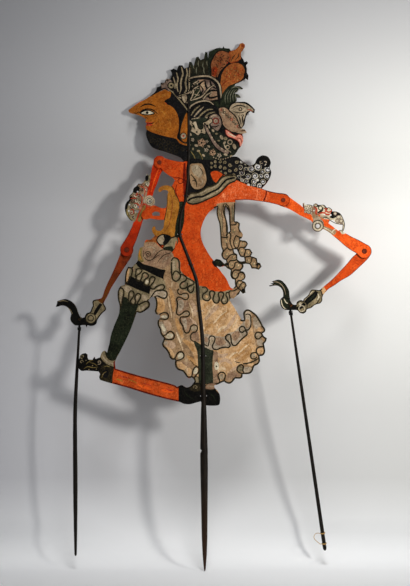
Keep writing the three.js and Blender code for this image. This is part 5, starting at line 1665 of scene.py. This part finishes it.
# Feet, ground strip and anklet
figure.draw("""
    area strip spacing=4 sharp=20 113.4,362 190,378 190,412 111.4,392
    area black sharp=40 56,346 99,346 103,350 107,357 110.4,361 113.6,366 114,369 112.6,377 112.4,386 98,392
        56,386
    area line 101,367 106,363.6 112,364.6 113.4,369 112.4,377 112,384 104,381 100,379
    area hair 103,371 107,369.6 109,373 106.6,378 103.4,377
    area ash line 1 99.8,349 104.4,347.6 105.8,353.6 107.6,357.8 110.6,360 114.4,360 116.6,357.4 116.8,352
        120.4,351 123,357 120,363.4 115.6,367 111,366.4 106,364 101.8,359.8 98.8,354.4
    stroke bone 1.4 .5 101.6,352.6 103.6,357.8 107.6,361.8 112.4,363.4 117,361.6 119.4,357.4
    stroke line 1 .5 104,349 102.2,350.4 101.4,352.4
    area dark 106,344 128,344 116.4,356.6 113,359.4 109.6,358.6 107,355
    curl bone 2.3 120 -420 .8 99,362.2
    curl ash 2.4 90 380 .7 82.6,356.6
    curl ash 2 0 -360 .6 81.6,362
    stroke olive .8 .3 84,368.6 88,366.6 93,367.6 98,367 ; 90,362.6 94,363.6 97.4,366 ; 101.6,378 103.4,373.6
        106.6,371.4 ; 86,364.4 88.4,362 91.4,361.8 ; 104,367 107,366 110,367 ; 88,358.4 90,360 93,360.4
    dot ash .6 sides=6 86,360.4 ; 92.6,365.6 ; 96.4,369 ; 89,369.6 ; 103,374.4
    stroke red 1.2 .2 118,375 124,377 130,378.4
    stroke limb 2.6 .3 138,384.6 146,388 153,389.4
    stroke limb 2.8 .3 161,389.6 168,391.4 174,391.6
    stroke red 1 .2 142,383 148,384.6 152,386
    stroke red 1.4 .3 166,388.4 170,390.4 173.4,390.8
    stroke ochre 1.8 .3 116,379 120,380 122.6,381.6
    stroke ochre 1.2 .3 128,379.6 133,381 137,383.4
    edge blood 1.5 113.4,360 178.4,378 178.6,408 112.4,392
    area black sharp=40 178.4,376 181,381 184,380 188,388.6 194,386 200,384 206,386 213,388 222,396 224,410
        178.6,410
    area black 183.6,378 190,384 195,385 190,392 184,388
    area line black 1 189.4,389.4 191.6,385 196,383 200.6,384 200.6,390.4 195,392
    curl ash 2.4 160 400 .7 195.6,387.4
    area rose line .8 203.4,388.6 206.6,384.6 211,383 216,383.6 217,387 213,389.6 208,389.4
    stroke bone 1 .5 206.6,386.6 210,385.6 213.4,386.4
    stroke dark 1 .4 184,391 188,396 194,399.6 ; 208,392 213,396 216,401.6
""")
painted_sheet("figure_hide", "figure", "figure_sheet", figure, "skin", SHEET_FRONT, SHEET_BACK)

# Painting of the arms
left_upper, right_upper, left_fore, right_fore = Drawing(), Drawing(), Drawing(), Drawing()

# Left armlet
left_upper.draw("""
    area ash 139,180 143,173 147,167 150.6,172 149.8,182 147.4,190 144.2,198 141.6,206 138,214 134,222 120,222
        120,200 126,196 132,186
    area rose 143,189 147,190 146.6,196 143.6,203 140,209.6 136.6,207 138.6,200 140.6,194
    area black 131.4,196 133,198.4 129.6,202 127.6,207 127.8,211.6 129.4,216 127,218 124,212 124,206 127,200 ;
        134.4,186.6 138.4,186.4 140.4,189.6 138,192.6 134.6,193 132.4,190 ; 144.6,171.6 147.6,172.6 148.6,177
        147.6,181 144.8,180 144,176
""")
for place in (
    "147.2,184,2.2,cream", "142.4,184.6,2.3,rose", "138.4,184.4,1.7,grey", "146,189.4,1.7,cream",
    "141.4,189.8,1.9,rose", "134.6,195.4,2,cream", "138.6,196,2,grey", "136,200.4,2.1,cream",
    "132.2,201.4,1.7,rose", "134.8,206,2.2,cream", "131,207.4,1.6,grey", "139.8,202.4,1.7,cream",
    "131.6,213,2,grey", "135.4,211.6,1.7,cream", "146,174.4,1.4,cream", "133.4,217,1.5,grey",
):
    x, y, r = map(float, place.split(",")[:3])
    left_upper.dot(place.split(",")[3], x, y, r, sides=10)
    left_upper.curl("black" if (3 * x + y) % 4 < 2.6 else "blood", x, y, r * 0.95, 30 * x % 360, 380, 0.8, 0.2)
for x, y, r, sides in pairs(
    "138.4,206.8,1.5,8 137.2,211.4,1.4,8 142.8,195.2,1.2,8 137.6,191.6,.9,7 144.4,179.4,.9,7 129.4,204.6,.9,7 "
    "143.6,200.6,.8,7 128.8,210.8,1,7"
):
    left_upper.fill(None, circle(x, y, r, int(sides)))
left_upper.draw("""
    stroke red 1.25 .6 .5 139.6,186.6 143.6,187.6 145,191.4 143.8,196 ; 139,193.6 142,197.6 141.6,203
        138.6,209.6 ; 130.6,198.6 134,198.2 137,198.6 ; 133.6,203.2 137.4,203.8 139.4,206.4 ; 145,186.4
        147.6,187.6 147.6,192 ; 130.4,210 133,209.4 134,213.4 ; 136,196 137.4,192.4
    stroke olive 1.4 .6 .5 126.8,209 127.4,214 129.6,218.6 133,221
    area olive 143.6,205 146,205.6 143.6,212.6 140.6,221.6 137.6,220.6 139.6,212
    stroke ochre 1 .5 144.4,206 142,213 139.6,220
    stroke red 1 143.4,203.4 139.6,212.6 136.8,221
    dot cream 5.6 sides=18 149.5,201
    ring rose 4.2 1 sides=16 149.5,201
    ring grey 5.4 .7 sides=18 149.5,201
    ring line 2.7 .7 sides=12 149.5,201
    stroke red 1.8 .6 .5 145.2,203.4 147,206 150,206
    edge black .7 118,160 146,160 139,200 131,226 118,226
    stroke limb 1.3 .4 160,166 155,178 151,192
""")

# Left forearm, cuff and hand
left_fore.draw("""
    area olive 82,297 98,296.4 102,299.4 104.4,306 103,314 96,322 88,326 60,350 30,330 40,280 70,280
    area black 20,270 72,270 82,300 92,312 96,322 86,336 80,340 30,345
    area ash line 1 88.6,301.4 93,297.4 99,298.4 103.4,302.4 106.4,308.6 104,315 97.4,320.6 92.6,318.4 88,311.6
    stroke black 3.4 .8 .9 94.4,314.6 97,309.6 101,303.8
    stroke bone .9 .5 90.6,306.4 94,300.4 98,299.8 ; 98,318 103,313.6 105,308.6
    area umber 97,298.6 100,292 108,296.6 105,301.6 102,303.4 98.6,301.4
    dot ash 5.3 sides=18 90.6,318.3
    ring line 5.1 .8 sides=18 90.6,318.3
    ring black 2.8 .9 sides=14 90.6,318.3
    stroke ash .7 .3 58,301.6 63,300.6 68,302 ; 66,306.6 70,310 72.6,314 ; 77,311 80,315 81,319.4 ; 80,307
        84,310.6
""")

# Right armlet
right_upper.draw("""
    area cream 300,198 305,201 318,201 326,203.6 332,206 340,209.6 346,217 347,232 342,234 337,226 330,220
        324,218.6 319,214.6 313.6,216.4 309,212.6 303,206.6
    stroke blood 1.2 .5 .6 303,202 303.7,206.6 305.6,211
""")
for x, y, r in pairs(
    "306.2,208.2,2.1 309.6,206.2,2 312.2,209.2,2.1 308.8,211.8,2 312.4,213,1.7 305.6,211.4,1.4"
):
    right_upper.dot("cream", x, y, r, sides=12)
    right_upper.ring("mauve", x, y, r, 0.7)
    right_upper.dot("line", x, y, r * 0.3, sides=6)
right_upper.draw("""
    dot cream 2.4 sides=12 316,204.6
    ring line 2.2 .9 316,204.6
    dot rose .9 sides=6 316,204.6
    area rose 312.6,207 316.4,208.6 318.6,213 317.6,218 313.6,216.4 312,212
    stroke red 1.6 .6 313.8,206.6 316.8,209 316,213 318.4,217.6
    stroke black 3.4 .6 317.6,206.6 320,203.8 323.6,203.8 326.4,206.4 327.4,210
    stroke black 2 .6 317.6,212.6 321.4,211 323,207.4
    dot cream 2.2 320.4,208
    ring line 2 .9 320.4,208
    stroke red 1.4 .6 324,208 326,209.6 325,212.6
    ring red 2.9 1.5 .85 0 14 328.9,209.7
    dot cream 1.5 328.9,209.7
    stroke red 1.7 .6 .5 318.6,214 323,212.6 327.4,214.6 331.8,213.4
    stroke grey 1.6 .6 .5 319.6,216.8 324,216 328.6,218 332,217.4
    stroke line .9 .5 321,218.6 325.6,217.4 330.4,219.8
    area black 330,217 331.6,212.4 335,210 339,211.6 341,214.4 337,216.4 333.4,218.4
    stroke black 2 1.3 .5 331,213.4 335,211.4 339.6,213 343,217.6 344.6,223 344.2,228 342.4,231.6
""")
for x, y, r in pairs(
    "335.2,213.6,1.5 338.6,217.2,1.9 341.2,220.8,1.8 337.2,220.8,1.5 341.8,225,1.6 339.2,223.8,1.3"
):
    right_upper.dot("cream", x, y, r, sides=10)
    right_upper.ring("mauve", x, y, r, 0.8, sides=10)
right_upper.draw("""
    area buff 311.8,213.4 320,216.4 328,221.6 336.6,228 334,235 325,229.6 316,225
    area limb 318,217.4 326,220.6 336,226.6 340,231 334,229.8 324,225.6 317,221.4
    stroke cream .9 .4 322,226.6 328,229.6 334,233.6
    area grey 312.4,222.4 316,216.6 321.4,219 324,224.4 322,230.4 317.6,232.6 313,230.4 311,226.6
    ring line 5.6 .8 sides=18 317.9,225.9
    ring line 2.7 .7 sides=12 317.9,225.9
    ring cream 4.1 1.2 sides=16 317.9,225.9
    stroke cream 1.1 .4 330.6,233.6 334.6,229.4 338,228.2
    stroke cream .9 .4 341,231.6 343.6,233.4
""")
right_upper.fill(
    None,
    "330,220.6 333.4,219.6 336,222.6 337.6,226.6 340.6,228.6 338.6,231 334.6,228 330.6,224.6",
    circle(324.6, 214.6, 0.9, 7), circle(330.8, 215, 1.0, 7), circle(314, 210.6, 0.7, 6),
)
right_upper.draw("""
    edge line .6 300,195 350,195 350,232 342,232 312,212
""")

# Right forearm, cuff and hand
right_fore.draw("""
    area tan 316,298 319,290 322,285.6 326.6,292 322.6,299.6 319,303
    area ash line 1.1 300,296 308,288 318,288 321.6,292 322.4,300 318,306 310,310 302,312 298,305
    stroke black 5.4 .8 .7 305.4,303.6 309,300 313.6,296.4 317,291.6
    stroke dark 1.6 .4 307,302 311,298.8 315,294.6
    stroke line 1 .5 311,306.6 316.6,303.6 320.6,297.6
    stroke cream 1.2 .5 .6 317,300.4 319,297.4 318,293.6
    stroke cream .9 .5 305,299.6 309.6,294.6 313,291
    area dark 255,270 300,270 300,295 297,310 290,318 270,318 255,300
    area umber 290,304.6 293,301.6 297,303.6 303,303.4 304,308.6 297,309.6 292,310.6
    area black 291.4,306.6 294,305 303,304.6 305.6,302 308,305 303,308.6 294,310 291.6,314
    dot cream 5.7 sides=18 301.9,306.9
    area ash 298.6,303 301.9,301.2 305.8,303 307.2,307 305.6,310.6 301.9,312.4 298,310.6 296.6,306.9
    stroke black 3.4 .8 .9 290,308.2 296,308.6 300.6,307.4 305,303.4
    ring line 5.5 .7 sides=18 301.9,306.9
    ring cream 3 .8 sides=14 301.9,308.6
    dot cream 1.5 300.4,303.8
    dot dark 6.2 sides=18 285,303.5
    ring black 5.6 1.3 sides=18 285,303.5
    stroke cream .9 .5 281.4,298.6 282,304 285,308.6 289,310 ; 284,298.6 286.4,302.6 289.6,304
    stroke bone .75 .3 270.4,283.6 275,281.8 280,283.4 284,288 286,295 ; 273,281 279,279.6 285,283 288.4,290
        289,298 ; 270.6,286.6 275,284.8 279.4,286.4 282.6,292 283.2,297
    area ash line .7 290.6,290.6 293.6,289.6 296.4,292.6 295,297 291,297.6
""")
right_fore.draw("""
    edge line 1 296,286 322,286 326,300 312,314 296,314
    edge black .9 262,274 296,274 296,312 262,312
    edge blood .5 320,252 372,240 372,262 326,300
""")
left_fore.draw("""
    edge black 1.2 82,298 96,298 106,300 110,312 100,328 84,328 84,312
    edge blood .6 96,300 112,262 134,252 134,262 106,304
""")
left_upper.draw("""
    edge blood .6 132,225 142,225 136,252 134,258 118,258 118,244
""")
right_upper.draw("""
    edge blood .5 340,232 372,240 372,262 350,258 330,240
""")

# Radius, bore and depth of the sunk places for the heads of the elbow pins and for the knots in the palms
SEAT_DEPTH = 0.0009
ELBOW_SEAT = (0.0027 / CELL, 0.0015 / CELL, SEAT_DEPTH)
PALM_SEAT = (0.00125 / CELL, 0.00065 / CELL, SEAT_DEPTH)
# The left arm's grounds are painted shade: darker copies of the right arm's limb and flame.
for side, elbow, palm, upper, lower, upper_base, lower_base in (
    ("left", LEFT_ELBOW, LEFT_PALM, left_upper, left_fore, "shaded_limb", "umber"),
    ("right", RIGHT_ELBOW, RIGHT_PALM, right_upper, right_fore, "limb", "flame"),
):
    names = f"{side}_upper_arm", f"{side}_forearm"
    seat = to_cells(*elbow) + ELBOW_SEAT
    painted_sheet(f"{side}_upper_hide", names[0], names[0], upper, upper_base, UPPER_FRONT, UPPER_BACK, seat)
    seat = to_cells(*palm) + PALM_SEAT
    painted_sheet(f"{side}_fore_hide", names[1], names[1], lower, lower_base, FORE_FRONT, FORE_BACK, seat)


# Backdrop: a sweep that starts as a floor under the rod's point, rises behind the figure and leans to its head

# Depth and height down its middle
SWEEP = pairs(
    "-1.2,-.0005 -.01,-.0005 .03,0 .056,.006 .076,.022 .09,.05 .098,.09 .101,.15 .099,.22 .09,.31 .076,.38 "
    ".058,.45 .045,.48 .031,.51 .0185,.54 .0105,.57 .0068,.6 .006,.63 .006,.75 .006,1.5"
)
sweep_line = spline(SWEEP * 100) / 100
SWEEP_SIDES = np.concatenate([[-1.3, -0.9, -0.6], np.linspace(-0.4, 0.4, 25), [0.6, 0.9, 1.3]])


def sweep_depth(x, y, z):
    """The sweep stands a little nearer at both sides."""
    share = min(1.0, max(0.0, z / 0.05)) * min(1.0, max(0.0, (0.6 - z) / 0.15))
    return y * (1 - 0.3 * share * math.tanh(((x + 0.04) / 0.16) ** 2)) if y > 0 else y


sweep_points = [(x, sweep_depth(x, y, z), z) for y, z in sweep_line for x in SWEEP_SIDES]
wide = len(SWEEP_SIDES)
sweep_faces = [
    (wide * k + j, wide * k + j + 1, wide * k + wide + j + 1, wide * k + wide + j)
    for k in range(len(sweep_line) - 1)
    for j in range(wide - 1)
]


def backdrop_material():
    """Paper with painted light and shade: white towards the lit right side and grey to the left, darker towards
    the top, another tone at middle heights and near white on the floor, with a very fine tooth.
    """
    n = Nodes("backdrop")
    axes = n.axes()
    across = n.ranged(axes["X"], -0.26, 0.26)
    tone = n.mixed(across, colour("c3c3c6"), colour("e1e1de"))
    high = n.ranged(axes["Z"], 0.54, 0.78)
    tone = n.mixed(high, tone, colour("b2b2b5"))
    middle = n.ranged(axes["Z"], 0.42, 0.2)
    tone = n.mixed(middle, tone, n.mixed(across, colour("c7c7cb"), colour("d1d1cf")))
    low = n.ranged(axes["Z"], 0.11, 0.0)
    tone = n.mixed(low, tone, colour("fbfcfd"))
    rough = n.ranged(n.noise(300, 2), 0.0, 1.0, 0.9, 0.96)
    return n.finish(tone, rough, n.noise(1800, 2), 0.05, 0.0002)


backdrop = mesh_object("backdrop", sweep_points, sweep_faces, [backdrop_material()])


# Light


def area_light(name, place, aim, size, power, spread, tint=(1, 1, 1)):
    data = bpy.data.lights.new(name, "AREA")
    data.shape = "DISK"
    data.size, data.energy, data.color = size, power, tint
    data.spread = math.radians(spread)
    lamp = bpy.data.objects.new(name, data)
    scene.collection.objects.link(lamp)
    lamp.location = place
    lamp.rotation_euler = (Vector(aim) - Vector(place)).to_track_quat("-Z", "Y").to_euler()


area_light("key", (1.02, -1.25, 0.72), (0.3, 0, 0.43), size=0.22, power=1.34, spread=40, tint=(1.0, 0.985, 0.95))
area_light("top", (0.1, -0.95, 1.75), (0, 0, 0.0), size=0.5, power=1.62, spread=60)
world = bpy.data.worlds.new("room")
world.use_nodes = True
background = world.node_tree.nodes["Background"].inputs
background["Color"].default_value = (0.86, 0.88, 0.92, 1)
background["Strength"].default_value = 0.14
scene.world = world
scene.view_settings.view_transform = "Standard"
